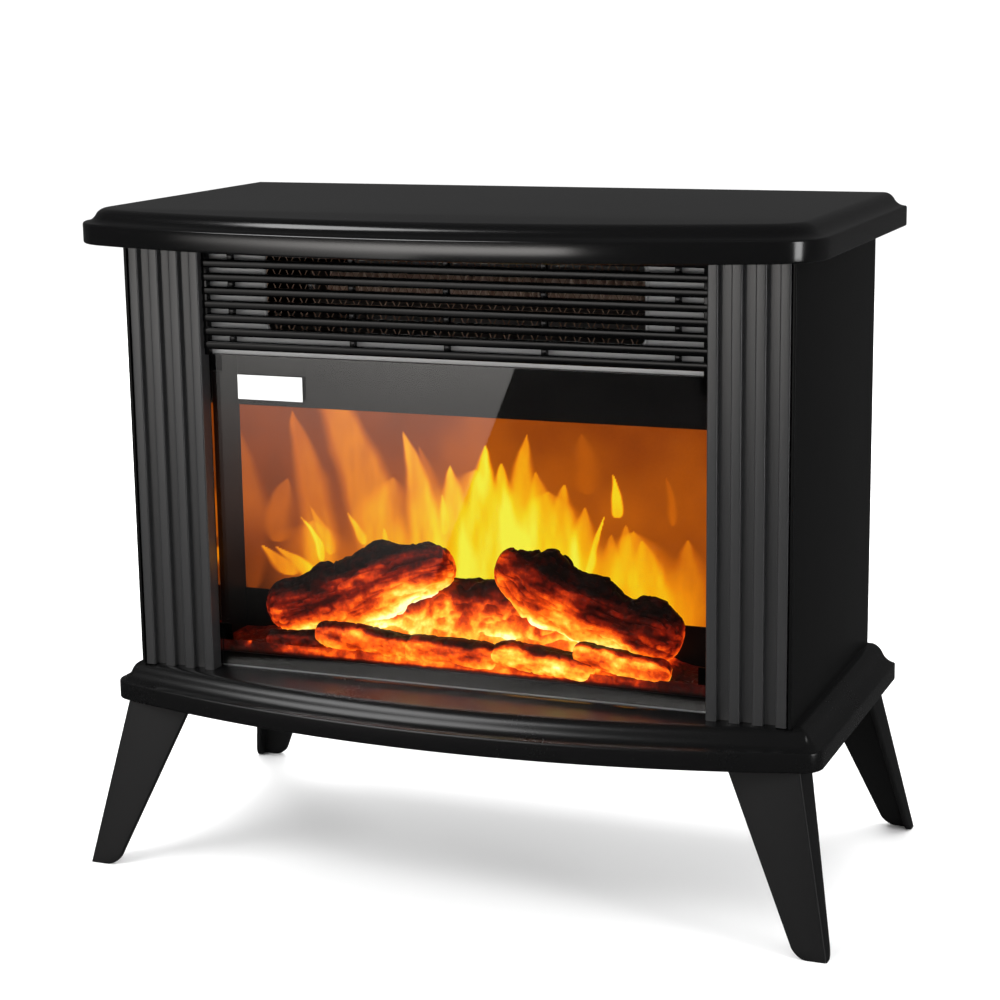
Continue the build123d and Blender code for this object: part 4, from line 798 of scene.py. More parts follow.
FINISHES: dict[str, Finish] = {
    "gloss_moulding": Finish((0.0030, 0.0030, 0.0031), 0.15, level=0.5, spread=0.03, mottle=0.05,
                             depth=0.000004),
    "plinth_gloss": Finish((0.0034, 0.0034, 0.0035), 0.27, level=0.32, spread=0.03, mottle=0.05,
                           depth=0.000004),
    "satin_black": Finish((0.020, 0.020, 0.0205), 0.30, level=0.6, spread=0.05, depth=0.000008),
    "panel_black": Finish((0.0032, 0.0032, 0.0033), 0.32, level=0.10, spread=0.05, depth=0.000008),
    "rear_sheet": Finish((0.014, 0.014, 0.0145), 0.42, level=0.35, spread=0.05, depth=0.000012),
    "leg_plastic": Finish((0.0055, 0.0055, 0.0057), 0.46, level=0.24, scale=1500.0, depth=0.00003),
    "grille_black": Finish((0.0010, 0.0010, 0.0011), 0.14, level=0.16, spread=0.04, depth=0.000005),
    # Painted reflection: the grille's back plate is glossy black, and this light grey stands in for the
    # studio light it mirrors through the slat gaps.
    "grille_plate_painted_reflection": Finish((0.42, 0.42, 0.42), 0.32, level=0.5, spread=0.06, mottle=0.08,
                           depth=0.000008),
    "firebox_black": Finish((0.0030, 0.0016, 0.0009), 0.40, level=0.10),
    "zinc_sheet": Finish((0.52, 0.53, 0.54), 0.36, 1.0, grain=Grain.BRUSHED, scale=160.0, mottle=0.2,
                         spread=0.15),
    "clear_glass": ClearGlass((0.98, 0.985, 0.98), 0.0, scale=30.0, mottle=0.01, spread=0.004,
                              depth=0.0),
    "label_white": Finish((0.74, 0.74, 0.73), 0.45, scale=2500.0, mottle=0.03),
    "guard_mesh": Finish((0.55, 0.36, 0.26), 0.38, 0.1, grain=Grain.BRUSHED, scale=500.0, mottle=0.3),
    "heater_steel": Finish((0.05, 0.038, 0.03), 0.38, 0.4, grain=Grain.BRUSHED, scale=240.0,
                           mottle=0.25),
    "fin_aluminium": Finish((0.95, 0.74, 0.62), 0.42, 0.1, grain=Grain.BRUSHED, scale=700.0, mottle=0.3),
    "bright_steel": Finish((0.60, 0.60, 0.61), 0.22, 1.0, grain=Grain.BRUSHED, scale=400.0, mottle=0.12),
    "fan_plastic": Finish((0.035, 0.036, 0.038), 0.42),
    "bearing_brass": Finish((0.62, 0.42, 0.16), 0.34, 1.0, grain=Grain.BRUSHED, scale=600.0, mottle=0.2),
    "motor_iron": Finish((0.20, 0.20, 0.21), 0.45, 0.9, scale=700.0, mottle=0.3),
    "reflector_foil": Finish((0.78, 0.77, 0.74), 0.16, 1.0, grain=Grain.BRUSHED, scale=300.0,
                             mottle=0.08),
    "circuit_board": Finish((0.02, 0.10, 0.045), 0.40, scale=600.0, mottle=0.4),
    "terminal_plastic": Finish((0.62, 0.62, 0.58), 0.42, mottle=0.08),
    "control_plastic": Finish((0.012, 0.012, 0.013), 0.34),
    "switch_plastic": Finish((0.012, 0.012, 0.012), 0.26),
    "rocker_plastic": Finish((0.35, 0.012, 0.010), 0.24),
    "wire_jacket": Finish((0.30, 0.05, 0.03), 0.45),
    "black_screw": Finish((0.03, 0.03, 0.032), 0.35, 0.9, grain=Grain.BRUSHED, scale=900.0),
    "log_resin": Smoulder((0.0, 0.0, 0.0), 0.5, level=0.10, scale=330.0, depth=0.0008, glow=1.3,
                          fleck=0.40),
    "ember_resin": Smoulder((0.0, 0.0, 0.0), 0.5, level=0.25, scale=420.0, depth=0.0006, glow=1.3,
                            fleck=0.35),
    "flame_film": FlameFilm((0.004, 0.003, 0.002), 0.55, level=0.1, scale=900.0, mottle=0.03, glow=1.0),
}


def dress_frame() -> None:
    """Give every CAD node the finish of its slot, and the rear sheet its own.

    A node that a piece stands for is hidden later.
    """
    finishes = {entry["node"]: entry["material_slot"] for entry in frame["record"]["subparts"]}
    finishes["rear_cover"] = "rear_sheet"
    for name, node in frame["nodes"].items():
        wear(node, finishes[name])
    LOG.info("%d CAD nodes dressed", len(frame["nodes"]))


# ---------------------------------------------------------------------------
# Mantel and plinth
# ---------------------------------------------------------------------------

@dataclass
class BowedBoard:
    """A hollow moulded board with a bowed front, rounded corners and an ogee edge."""

    node: str
    bow: float
    corner: float
    inset: float
    drop: float
    finish: str
    edge: float = 1.0 * MM
    wall: float = 2.5 * MM
    waist: float = 0.55
    bulge: float = 0.05
    side_steps: int = 10
    corner_steps: int = 14
    bow_steps: int = 120
    ogee_steps: int = 9
    nose_steps: int = 6
    rim_steps: int = 5

    def outline(self, inset: float, back_inset: float) -> np.ndarray:
        """Outline drawn in by an inset: straight side, corner arc, bow arc, and the same mirrored.

        The corner's centre lies where the circle of the bow, less the corner radius, meets the line that
        runs a corner radius inside the side.

        Args:
            inset: Distance from the full outline at the front and the sides.
            back_inset: Distance from it at the back.

        Returns:
            Array of x, y points.
        """
        box = Extent(self.node)
        half, front, back = box.high[0] - inset, box.low[1] + inset, box.high[1] - back_inset
        bow, corner = self.bow - inset, max(self.corner - inset, self.edge)
        centre_x, bow_y = half - corner, front + bow
        centre_y = bow_y - math.sqrt((bow - corner) ** 2 - centre_x ** 2)
        angle = math.atan2(centre_y - bow_y, centre_x)
        side_y = np.linspace(back, centre_y, self.side_steps)
        side = np.stack([np.full_like(side_y, half), side_y], axis=-1)
        turn = np.linspace(0.0, angle, self.corner_steps)[1:]
        bend = np.stack([centre_x + corner * np.cos(turn), centre_y + corner * np.sin(turn)], axis=-1)
        sweep = np.linspace(angle, -math.pi - angle, self.bow_steps)[1:-1]
        face = np.stack([bow * np.cos(sweep), bow_y + bow * np.sin(sweep)], axis=-1)
        right = np.concatenate([side, bend])
        return np.concatenate([right, face, right[::-1] * MIRROR])

    def profile(self) -> list[tuple[float, float, float]]:
        """Work out the rows of the board: ogee, edge, rim, and the hollow below.

        The ogee is a convex arc from the shoulder to the waist and a cove from there to the toe, each bulged
        by a share of the inset, and the edges below are quarter circles.

        Returns:
            Side inset, back inset and height of each row.
        """
        box = Extent(self.node)
        low, high = box.low[2], box.high[2]
        bulge = self.inset * self.bulge
        shoulder, waist = (-self.inset, 0.0), (-self.inset * self.waist, -self.drop / 2)
        toe, foot = (-self.edge, -self.drop), (0.0, -self.drop - self.edge)
        nose = self.edge * (1 - math.sqrt(0.5))
        crown = ((shoulder[0] + waist[0]) / 2 + bulge, -self.drop / 4 + bulge)
        hollow = ((waist[0] + toe[0]) / 2 - bulge, -self.drop * 0.75 - bulge)
        convex = arc_through(shoulder, crown, waist, self.ogee_steps)
        cove = arc_through(waist, hollow, toe, self.ogee_steps)
        round_over = arc_through(toe, (-nose, -self.drop - nose), foot, self.nose_steps)
        ogee = np.concatenate([convex, cove[1:], round_over[1:]])
        rows = [(-x, 0.0, high + z) for x, z in ogee]
        for t in np.linspace(0.0, math.pi / 2, self.rim_steps):
            rows.append((self.edge * (1 - math.cos(t)), 0.0, low + self.edge * (1 - math.sin(t))))
        rim = high - self.drop - self.edge - self.wall
        deep = self.inset + self.wall
        rows += [(self.wall, self.wall, low), (self.wall, self.wall, rim), (deep, deep, rim)]
        rows.append((deep, deep, high - self.wall))
        return rows

    def build(self, name: str) -> bpy.types.Object:
        """Carry the profile round the outline and close the top and the hollow.

        Args:
            name: Name of the piece.

        Returns:
            The board's object.
        """
        rows = [at_height(self.outline(inset, back), level) for inset, back, level in self.profile()]
        board = Shell().loops(np.stack(rows)).build(name, crease=24.0)
        return place(board, "cabinet", "gloss_moulding", self.node, finish=self.finish)


# ---------------------------------------------------------------------------
# Body: pillars, side panels, legs
# ---------------------------------------------------------------------------

@dataclass
class Cabinet:
    """The fluted pillars, the side panels and the four splayed legs."""

    lands: int = 4
    land: float = 4.8 * MM
    groove: float = 5.8 * MM
    depth: float = 3.4 * MM
    wall: float = 1.4 * MM
    land_round: float = 0.75 * MM
    groove_round: float = 1.1 * MM
    sheet: float = 0.8 * MM
    fold: float = 1.6 * MM
    fold_round: float = 0.7 * MM
    lip_round: float = 0.15 * MM
    back_round: float = 0.2 * MM
    inner_round: float = 0.05 * MM
    flange_round: float = 0.1 * MM
    crease: float = 40.0
    leg_wall: float = 2.7 * MM
    leg_foot: tuple[float, float] = (14.4 * MM, 9.0 * MM)
    leg_top: tuple[float, float] = (33.8 * MM, 20.0 * MM)
    leg_splay: tuple[float, float] = (16.6 * MM, 15.0 * MM)
    leg_round: float = 1.0 * MM
    leg_tip_share: float = 0.6
    leg_inner_round: float = 0.3 * MM
    heel: float = 5.0 * MM
    heel_steps: int = 9
    heel_depth_share: float = 0.6

    def pillar(self, side: int, name: str) -> bpy.types.Object:
        """A fluted profile with rounded lands and coved grooves, carried up the body.

        Args:
            side: -1 for left, 1 for right.
            name: Name of its node.

        Returns:
            The pillar's object.
        """
        box = Extent(name)
        inner, outer = sorted(abs(x) for x in (box.low[0], box.high[0]))
        front, back = box.low[1], box.high[1]
        corners = []
        for index in range(self.lands):
            x = inner + index * (self.land + self.groove)
            if index:
                corners.append((x, front + self.depth, self.groove_round))
            corners += [(x, front, self.land_round), (x + self.land, front, self.land_round)]
            if index < self.lands - 1:
                corners.append((x + self.land, front + self.depth, self.groove_round))
        web = front + self.depth + self.wall
        corners += [(outer, back, 0.0), (outer - self.wall, back, 0.0), (outer - self.wall, web, 0.0),
                    (inner + self.wall, web, 0.0), (inner + self.wall, back, 0.0), (inner, back, 0.0)]
        return place(self.upright(corners, side, name, "fluted"), "cabinet", "satin_black", name)

    def upright(self, corners: list, side: int, name: str, word: str) -> bpy.types.Object:
        """Carry an outline from the foot of a node to its top.

        Args:
            corners: x, y and radius of the outline's corners on the right.
            side: -1 for left, 1 for right.
            name: Name of the node.
            word: What is added to it for the piece.

        Returns:
            The piece.
        """
        box = Extent(name)
        outline = rounded_outline(corners, 6) * np.array([side, 1.0])
        shell = Shell().prism(outline, Axis.Z, box.low[2], box.high[2])
        return shell.build(f"{name}_{word}", self.crease)

    def side_panel(self, side: int, name: str) -> bpy.types.Object:
        """A side sheet with a narrow rounded fold at the front and a flange at the back.

        Args:
            side: -1 for left, 1 for right.
            name: Name of its node.

        Returns:
            The sheet's object.
        """
        box = Extent(name)
        outer = max(abs(box.low[0]), abs(box.high[0]))
        inner, front, back = outer - self.sheet, box.low[1], box.high[1]
        lip, rear = outer - self.fold, outer - box.size[0]
        behind, ahead = front + self.sheet, back - self.sheet
        corners = [(outer, back, self.back_round), (outer, front, self.fold_round),
                   (lip, front, self.lip_round), (lip, behind, self.lip_round),
                   (inner, behind, self.inner_round), (inner, ahead, self.inner_round),
                   (rear, ahead, self.flange_round), (rear, back, self.flange_round)]
        return place(self.upright(corners, side, name, "folded"), "cabinet", "panel_black", name)

    def leg(self, side_x: int, side_y: int, name: str) -> bpy.types.Object:
        """An angle section that narrows and leans outwards on its way down, with a rounded heel.

        Each row is an L with arms (w, d) and wall t. Width, depth and corner place run in straight lines
        from top to foot, and near the foot the arms draw in along an arc, so that the sole's tips are round.

        Args:
            side_x: -1 for left, 1 for right.
            side_y: -1 for front, 1 for rear.
            name: Name of its node.

        Returns:
            The leg's object.
        """
        box = Extent(name)
        top = box.high[2]
        corner_x = (box.high[0] if side_x > 0 else -box.low[0]) - self.leg_splay[0]
        corner_y = (box.high[1] if side_y > 0 else -box.low[1]) - self.leg_splay[1]
        heel = self.heel
        arc = heel * (1 - np.cos(np.linspace(0.0, math.pi / 2, self.heel_steps)))
        levels = np.concatenate([arc, [heel * 1.5, top * 0.5, top]])
        tuck = heel - np.sqrt(np.maximum(heel ** 2 - np.maximum(heel - levels, 0.0) ** 2, 0.0))
        t, r, tip = self.leg_wall, self.leg_round, self.leg_round * self.leg_tip_share
        rows = []
        for level, draw in zip(levels, tuck):
            share = level / top
            width = self.leg_foot[0] + (self.leg_top[0] - self.leg_foot[0]) * share - draw
            depth = self.leg_foot[1] + (self.leg_top[1] - self.leg_foot[1]) * share
            depth -= draw * self.heel_depth_share
            x = corner_x + self.leg_splay[0] * (1 - share)
            y = corner_y + self.leg_splay[1] * (1 - share)
            corners = [(x, y, r), (x - width, y, r), (x - width, y - t, tip),
                       (x - t, y - t, self.leg_inner_round), (x - t, y - depth, tip), (x, y - depth, r)]
            rows.append(at_height(rounded_outline(corners) * np.array([side_x, side_y]), level))
        piece = Shell().loops(np.stack(rows)).build(f"{name}_moulded", self.crease)
        return place(piece, "cabinet", "leg_plastic", name)

    def build(self) -> None:
        """Build every piece of the cabinet."""
        for side, word in ((-1, "left"), (1, "right")):
            self.pillar(side, f"pillar_{word}")
            self.side_panel(side, f"side_panel_{word}")
            self.leg(side, -1, f"leg_front_{word}")
            self.leg(side, 1, f"leg_rear_{word}")


# ---------------------------------------------------------------------------
# Grille
# ---------------------------------------------------------------------------

@dataclass
class AirGrille:
    """Slats, the plate behind them with its window, and the wire guard in the window."""

    slats: int = 7
    gap: float = 2.3 * MM
    foot_gap: float = 0.6 * MM
    rail: float = 6.02 * MM
    end: float = 2.3 * MM
    slat_round: float = 0.9 * MM
    slat_back_round: float = 0.2 * MM
    rail_round: float = 0.1 * MM
    deck_drop: float = 0.2 * MM
    top_rise: float = 1.0 * MM
    end_round: float = 0.3 * MM
    rib: float = 2.6 * MM
    rib_overlap: float = 0.5 * MM
    rib_round: float = 0.4 * MM
    rib_spacing: float = 46.5 * MM
    rib_from_end: float = 14.2 * MM
    window_side: float = 30.4 * MM
    window_sill: float = 12.4 * MM
    window_top: float = 4.4 * MM
    window_corner: float = 3.0 * MM
    lip: float = 0.8 * MM
    plate_steps: int = 9
    cell: tuple[float, float] = (6.6 * MM, 6.0 * MM)
    wire: float = 0.42 * MM
    guard_edge: float = 0.1 * MM

    def slat_levels(self) -> list[tuple[float, float]]:
        """Work out where the slats stand. The gap above the last slat is closed by the rail.

        Returns:
            Lower and upper level of each slat.
        """
        box = Extent("front_grille")
        deck = box.low[2] - self.deck_drop
        height = box.size[2] + self.deck_drop + self.top_rise
        pitch = (height - self.rail - self.gap - self.foot_gap) / self.slats
        first = deck + self.gap + self.foot_gap
        feet = [first + index * pitch for index in range(self.slats)]
        return [(foot, foot + pitch - self.gap) for foot in feet]

    def front(self) -> bpy.types.Object:
        """Seven rounded slats, a plain top rail, two ends and short ribs in every second gap.

        Returns:
            The grille's object.
        """
        box = Extent("front_grille")
        (x0, y0, z0), (x1, y1, z1) = box.low, box.high
        shell = Shell()
        levels = self.slat_levels()
        front, back, rail = self.slat_round, self.slat_back_round, self.rail_round
        bars = [(low, high, back, front) for low, high in levels]
        bars.append((levels[-1][1] + self.gap, z1, rail, rail))
        for low, high, rear_top, front_top in bars:
            corners = [(y0, low, front), (y1, low, back), (y1, high, rear_top), (y0, high, front_top)]
            shell.prism(rounded_outline(corners, 6), Axis.X, x0, x1)
        for low, high in ((x0, x0 + self.end), (x1 - self.end, x1)):
            shell.block((low, y0 + self.end_round, z0), (high, y1, z1), self.end_round)
        outer = x1 - self.rib_from_end
        for index in range(0, self.slats, 2):
            low, high = levels[index][1] - self.rib_overlap, levels[index][1] + self.gap + self.rib_overlap
            for x in (-outer, -self.rib_spacing, 0.0, self.rib_spacing, outer):
                left, right = x - self.rib / 2, x + self.rib / 2
                shell.block((left, y0 + self.slat_round, low), (right, y1, high), self.rib_round)
        return place(shell.build("grille_slats", crease=40.0), "cabinet", "grille_black", "front_grille")

    def window(self) -> tuple[float, float, float, float]:
        """Work out where the window is.

        Returns:
            Its left, right, lower and upper edge.
        """
        box = Extent("grille_back_plate")
        return (box.low[0] + self.window_side, box.high[0] - self.window_side,
                box.low[2] + self.window_sill, box.high[2] - self.window_top)

    def oblong(self, low: tuple[float, float], high: tuple[float, float], corner: float) -> np.ndarray:
        """An oblong outline with its four corners rounded by the same radius.

        Args:
            low: x and z of its lower left corner.
            high: x and z of its upper right corner.
            corner: Radius of the corners.

        Returns:
            Array of x, z points.
        """
        (x0, z0), (x1, z1) = low, high
        corners = [(x0, z0, corner), (x1, z0, corner), (x1, z1, corner), (x0, z1, corner)]
        return rounded_outline(corners, self.plate_steps)

    def plate(self) -> bpy.types.Object:
        """A flat plate whose window has a rolled lip: half a circle of the lip's radius stands on its edge.

        Returns:
            The plate's object.
        """
        box = Extent("grille_back_plate")
        (x0, y0, z0), (x1, y1, z1) = box.low, box.high
        left, right, low, high = self.window()

        outer = self.oblong((x0, z0), (x1, z1), self.end_round)
        loops = [(outer, y1), (outer, y0)]
        for t in np.linspace(0.0, math.pi, self.plate_steps):
            grow = self.lip * (1 + math.cos(t))
            foot, head = (left - grow, low - grow), (right + grow, high + grow)
            loops.append((self.oblong(foot, head, self.window_corner + grow), y0 - self.lip * math.sin(t)))
        loops += [(self.oblong((left, low), (right, high), self.window_corner), y1), (outer, y1)]
        rows = np.stack([at_height(loop, y)[:, [0, 2, 1]] for loop, y in loops])
        piece = Shell().grid(rows, wrap=True).build("grille_window_plate", crease=35.0)
        # The plate wears a light grey painted reflection instead of its own glossy black, which is the slot
        # grille_black.
        return place(piece, "cabinet", "grille_black", "grille_back_plate", finish="grille_plate_painted_reflection")

    def guard(self) -> bpy.types.Object:
        """Zigzag wires laid point to point: z swings as a triangle wave of the cell's width and height.

        Returns:
            The guard's object.
        """
        box = Extent("heater_guard")
        (x0, _, z0), (x1, _, z1) = box.low, box.high
        y = box.middle[1]
        shell = Shell()
        count = int(box.size[2] / self.cell[1])
        halves = int(box.size[0] / self.cell[0]) * 2
        x = np.linspace(x0 + MM / 2, x1 - MM / 2, halves + 1)
        tall = box.size[2] - 2 * MM
        swing = np.where(np.arange(halves + 1) % 2 == 0, -0.5, 0.5) * tall / count
        for row in range(count):
            z = z0 + MM + (row + 0.5) * tall / count
            path = np.stack([x, np.full_like(x, y), z + swing], axis=-1)
            shell.tube(path, self.wire)
            shell.tube(path * np.array([-1.0, 1.0, 1.0]), self.wire)
        border = self.wire * 1.6
        for low, high in (((x0, z0), (x1, z0 + 2 * border)), ((x0, z1 - 2 * border), (x1, z1)),
                          ((x0, z0), (x0 + 2 * border, z1)), ((x1 - 2 * border, z0), (x1, z1))):
            shell.block((low[0], box.low[1], low[1]), (high[0], box.high[1], high[1]), self.guard_edge)
        return place(shell.build("guard_wires", crease=50.0), "cabinet", "guard_mesh", "heater_guard")

    def build(self) -> None:
        """Build every piece of the grille."""
        self.front()
        self.plate()
        self.guard()


# ---------------------------------------------------------------------------
# Logs and embers
# ---------------------------------------------------------------------------

@dataclass
class LogAxis:
    """The middle line of a log that runs from left to right or back, with the directions across it."""

    start: np.ndarray
    finish: np.ndarray
    length: float = field(init=False)
    along: np.ndarray = field(init=False)
    up: np.ndarray = field(init=False)

    def __post_init__(self) -> None:
        """Work out the log's length, its direction, and the direction up from it."""
        self.length = float(np.linalg.norm(self.finish - self.start))
        self.along = (self.finish - self.start) / self.length
        up = np.cross(self.along, ACROSS)
        self.up = up * math.copysign(1.0, up[2])

    def wrap(self, centre: np.ndarray, u: np.ndarray, depth: np.ndarray, height: np.ndarray) -> np.ndarray:
        """Points round the line: the centre plus depth times cos u across and height times sin u up."""
        return centre + ACROSS * (depth * np.cos(u))[..., None] + self.up * (height * np.sin(u))[..., None]


@dataclass
class CharredLog:
    """A leaning log of moulded resin: char along the top, glowing bark below."""

    name: str
    node: str
    low_end: tuple[float, float]
    high_end: tuple[float, float]
    seed: int
    half_height: float = 17.5 * MM
    half_depth: float = 10.8 * MM
    y: float = -30.5 * MM
    skin: float = 0.4 * MM
    sag: float = 1.6 * MM
    lump: float = 3.0 * MM
    lump_cell: float = 14 * MM
    groove: float = 2.3 * MM
    groove_cell: float = 4.2 * MM
    plate: float = 1.1 * MM
    plate_cell: float = 6.5 * MM
    plate_levels: float = 2.2
    grit: float = 0.4 * MM
    grit_cell: float = 2.2 * MM
    warp: float = 0.6 * MM
    grain_stretch: tuple[float, float, float] = (0.26, 1.0, 1.0)
    patch_stretch: tuple[float, float, float] = (0.55, 1.0, 1.0)
    patch_cell: float = 15 * MM
    streak_cell: float = 5.0 * MM
    char_levels: tuple[float, float] = (0.42, 0.86)
    rows: int = 300
    sides: int = 168

    def build(self) -> bpy.types.Object:
        """Carry a rough ellipse along the log's axis and give its points a heat.

        The half height is its own size, swelled by two slow sines of the length, plus lumps, plates and grit
        less grooves. Grooves are ridged noise, 1 - |n|, on coordinates drawn out about four times along the
        axis, and plates are the same kind of noise rounded to a few levels. Both ends draw in as
        (1 - |s|^5)^0.4, with s from -1 to 1 along the log. Heat falls with height above the axis and changes
        in broad patches and fine streaks, and the top is charred.

        Returns:
            The log's object.
        """
        start, finish = (np.array([x, self.y, z]) for x, z in (self.low_end, self.high_end))
        axis = LogAxis(start, finish)
        share = 0.5 - 0.5 * np.cos(np.linspace(0.0, math.pi, self.rows))
        turn = np.linspace(0.0, FULL_TURN, self.sides, endpoint=False)
        v, u = np.meshgrid(share, turn, indexing="ij")
        end = np.maximum(1 - np.abs(2 * v - 1) ** 5, 0.0) ** 0.40
        bulk = 0.90 + 0.10 * np.sin(v * 9.0 + self.seed) + 0.06 * np.sin(v * 23.0 + 2.0 * self.seed)
        rim_y, rim_z = np.cos(u) * self.half_depth * end, np.sin(u) * self.half_height * end
        spot = np.stack([v * axis.length, rim_y, rim_z], axis=-1)
        lumps = layered_noise(spot, self.lump_cell, 3, self.seed)
        drawn = spot * np.array(self.grain_stretch) + self.warp * lumps[..., None]
        ridges = 1 - np.abs(layered_noise(drawn, self.groove_cell, 3, self.seed + 9))
        crease = smoothstep(0.72, 0.99, ridges)
        fine = layered_noise(spot, self.grit_cell, 2, self.seed + 21)
        plates = layered_noise(drawn, self.plate_cell, 2, self.seed + 33) * self.plate_levels
        plates = np.round(plates) / self.plate_levels
        swell = self.lump * lumps - self.groove * crease + self.plate * plates + self.grit * fine
        depth = (self.half_depth * bulk + 0.45 * swell - self.skin) * end
        height = (self.half_height * bulk + swell) * end
        sag = self.sag * np.sin(v * FULL_TURN + self.seed)
        centre = start + axis.along * (v * axis.length)[..., None] + axis.up * sag[..., None]
        points = axis.wrap(centre, u, depth, height)
        level = (points[..., 2] - centre[..., 2]) / self.half_height
        patch = layered_noise(spot * np.array(self.patch_stretch), self.patch_cell, 3, self.seed + 40)
        streak = layered_noise(drawn, self.streak_cell, 3, self.seed + 60)
        climb = np.clip((points[..., 2] - start[2] + self.half_height) / (3.2 * self.half_height), 0.0, 1.0)
        heat = 0.52 - 0.44 * level - 0.10 * climb + 0.34 * patch + 0.20 * streak - 0.12 * crease
        heat -= 0.5 * smoothstep(*self.char_levels, level + 0.25 * patch)
        shell = Shell().grid(points, wrap=True, warmth=np.clip(heat, 0.0, 1.0))
        shell.cap(points[0], warmth=0.2).cap(points[-1], warmth=0.0)
        return place(shell.build(self.name, crease=60.0), "cabinet", "log_resin", self.node)


@dataclass(frozen=True)
class ShortLog:
    """One short log in millimetres: where it starts and ends, its radius and its heat."""

    start: tuple[float, float]
    finish: tuple[float, float]
    radius: float
    warmth: float


@dataclass
class EmberTray:
    """The glowing bed under the logs, and the short logs in front of it."""

    ridge_x: tuple[float, ...] = (-122.0, -104.0, -90.0, -40.0, -6.0, 16.0, 46.0, 90.0, 104.0, 122.0)
    ridge_z: tuple[float, ...] = (111.0, 112.0, 119.0, 134.0, 147.0, 147.5, 134.0, 119.0, 112.0, 111.0)
    ridge_blur: int = 12
    columns: int = 520
    wall_rows: int = 8
    deck_rows: int = 90
    lip: float = 12.0 * MM
    lump: float = 2.0 * MM
    lump_cell: float = 9 * MM
    fold: float = 1.6 * MM
    fold_cell: float = 6 * MM
    fold_stretch: tuple[float, float, float] = (0.5, 1.0, 0.8)
    heap: tuple[float, float] = (86 * MM, 104 * MM)
    heap_height: float = 36 * MM
    dark_front: tuple[float, float] = (3.0 * MM, 11.0 * MM)
    pockets: tuple[tuple[float, float, float], ...] = ((19 * MM, 15 * MM, 1.0), (-38 * MM, 12 * MM, 0.6))
    broad_cell: float = 20 * MM
    ember_cell: float = 5 * MM
    ember_reach: tuple[float, float] = (124 * MM, 112 * MM)
    unlit_drop: float = 4.5 * MM
    short_rows: int = 110
    short_sides: int = 44
    short_groove: float = 0.5 * MM
    short_logs: tuple[ShortLog, ...] = (
        ShortLog((-74.0, 117.5), (-22.0, 113.5), 6.2, 0.62),
        ShortLog((-28.0, 114.0), (20.0, 113.0), 6.4, 0.64),
        ShortLog((16.0, 115.0), (66.0, 111.5), 6.6, 0.70),
        ShortLog((56.0, 119.5), (102.0, 112.5), 6.0, 0.72),
        ShortLog((-100.0, 111.5), (-68.0, 113.5), 4.6, 0.30))

    def surface(self) -> tuple[np.ndarray, np.ndarray]:
        """Work out the smooth bed: up the front wall, over the mound and down the back wall.

        Height rises from the tray's lip to the ridge by 3t^2 - 2t^3 across the depth. The ridge's line is
        blurred by a running mean.

        Returns:
            The points, and how far each may be roughened, from 0 at the walls and ends to 1.
        """
        box = Extent("ember_bed")
        (x0, y0, z0), (x1, y1, _) = box.low, box.high
        lip = z0 + self.lip
        x = np.linspace(x0, x1, self.columns)
        ridge = np.interp(x, np.array(self.ridge_x) * MM, np.array(self.ridge_z) * MM)
        width = 2 * self.ridge_blur + 1
        padded = np.pad(ridge, self.ridge_blur, mode="edge")
        ridge = np.convolve(padded, np.ones(width) / width, mode="valid")[:, None]
        wall, deck = np.linspace(0.0, 1.0, self.wall_rows), np.linspace(0.0, 1.0, self.deck_rows)
        y = np.concatenate([np.full_like(wall, y0), y0 + (y1 - y0) * deck, np.full_like(wall, y1)])
        back_fall = 1 - 0.25 * smoothstep(0.7, 1.0, deck)
        top = lip + (ridge - lip) * smoothstep(0.16, 0.60, deck) * back_fall
        front = np.broadcast_to(z0 + (lip - z0) * wall, (self.columns, self.wall_rows))
        back = z0 + (top[:, -1:] - z0) * wall[::-1]
        z = np.concatenate([front, top, back], axis=1)
        points = np.stack([*np.meshgrid(x, y, indexing="ij"), z], axis=-1)
        still = np.zeros(self.wall_rows)
        inside = np.concatenate([still, smoothstep(0.0, 0.06, deck) * smoothstep(1.0, 0.94, deck), still])
        share = (x - x0) / (x1 - x0)
        edge = smoothstep(0.0, 0.01, share) * smoothstep(1.0, 0.99, share)
        return points, inside[None, :] * edge[:, None]

    def bed(self) -> bpy.types.Object:
        """Roughen the bed with lumps and folds of layered noise and give its points a heat.

        Heat is greatest behind the dark front, low down near the logs' feet and in the pockets, falls with
        height, and fades to scattered embers at the tray's ends.

        Returns:
            The bed's object.
        """
        points, loose = self.surface()
        lumps = layered_noise(points, self.lump_cell, 4, 71)
        ridges = 1 - np.abs(layered_noise(points * np.array(self.fold_stretch), self.fold_cell, 3, 77))
        folds = smoothstep(0.7, 1.0, ridges)
        points[..., 2] += (self.lump * lumps - self.fold * folds) * loose
        box = Extent("ember_bed")
        x, y, z = points[..., 0], points[..., 1], points[..., 2]
        lip = box.low[2] + self.lip
        middle = 1 - smoothstep(*self.heap, np.abs(x))
        climb = np.clip((z - lip) / self.heap_height, 0.0, 1.0)
        broad = layered_noise(points, self.broad_cell, 2, 90)
        near = smoothstep(*(box.low[1] + depth for depth in self.dark_front), y)
        heat = 0.10 + middle * (0.32 + 0.60 * near - 1.02 * climb) + 0.30 * broad * middle + 0.16 * lumps
        pockets = sum(share * np.exp(-((x - spot) / reach) ** 2) for spot, reach, share in self.pockets)
        heat += 0.18 * folds * middle + 0.42 * pockets * smoothstep(0.62, 0.30, climb) * near
        embers = smoothstep(0.45, 0.8, layered_noise(points, self.ember_cell, 2, 95))
        heat += 0.45 * embers * (1 - middle) * smoothstep(*self.ember_reach, np.abs(x))
        heat = np.clip(np.where(z < lip - self.unlit_drop, 0.0, heat), 0.0, 1.0)
        shell = Shell().grid(points, warmth=heat)
        shell.grid(np.stack([points[:, 0], points[:, -1]], axis=1), warmth=0.0)
        shell.cap(points[0], warmth=0.0).cap(points[-1], warmth=0.0)
        return place(shell.build("ember_mound", crease=60.0), "cabinet", "ember_resin", "ember_bed")

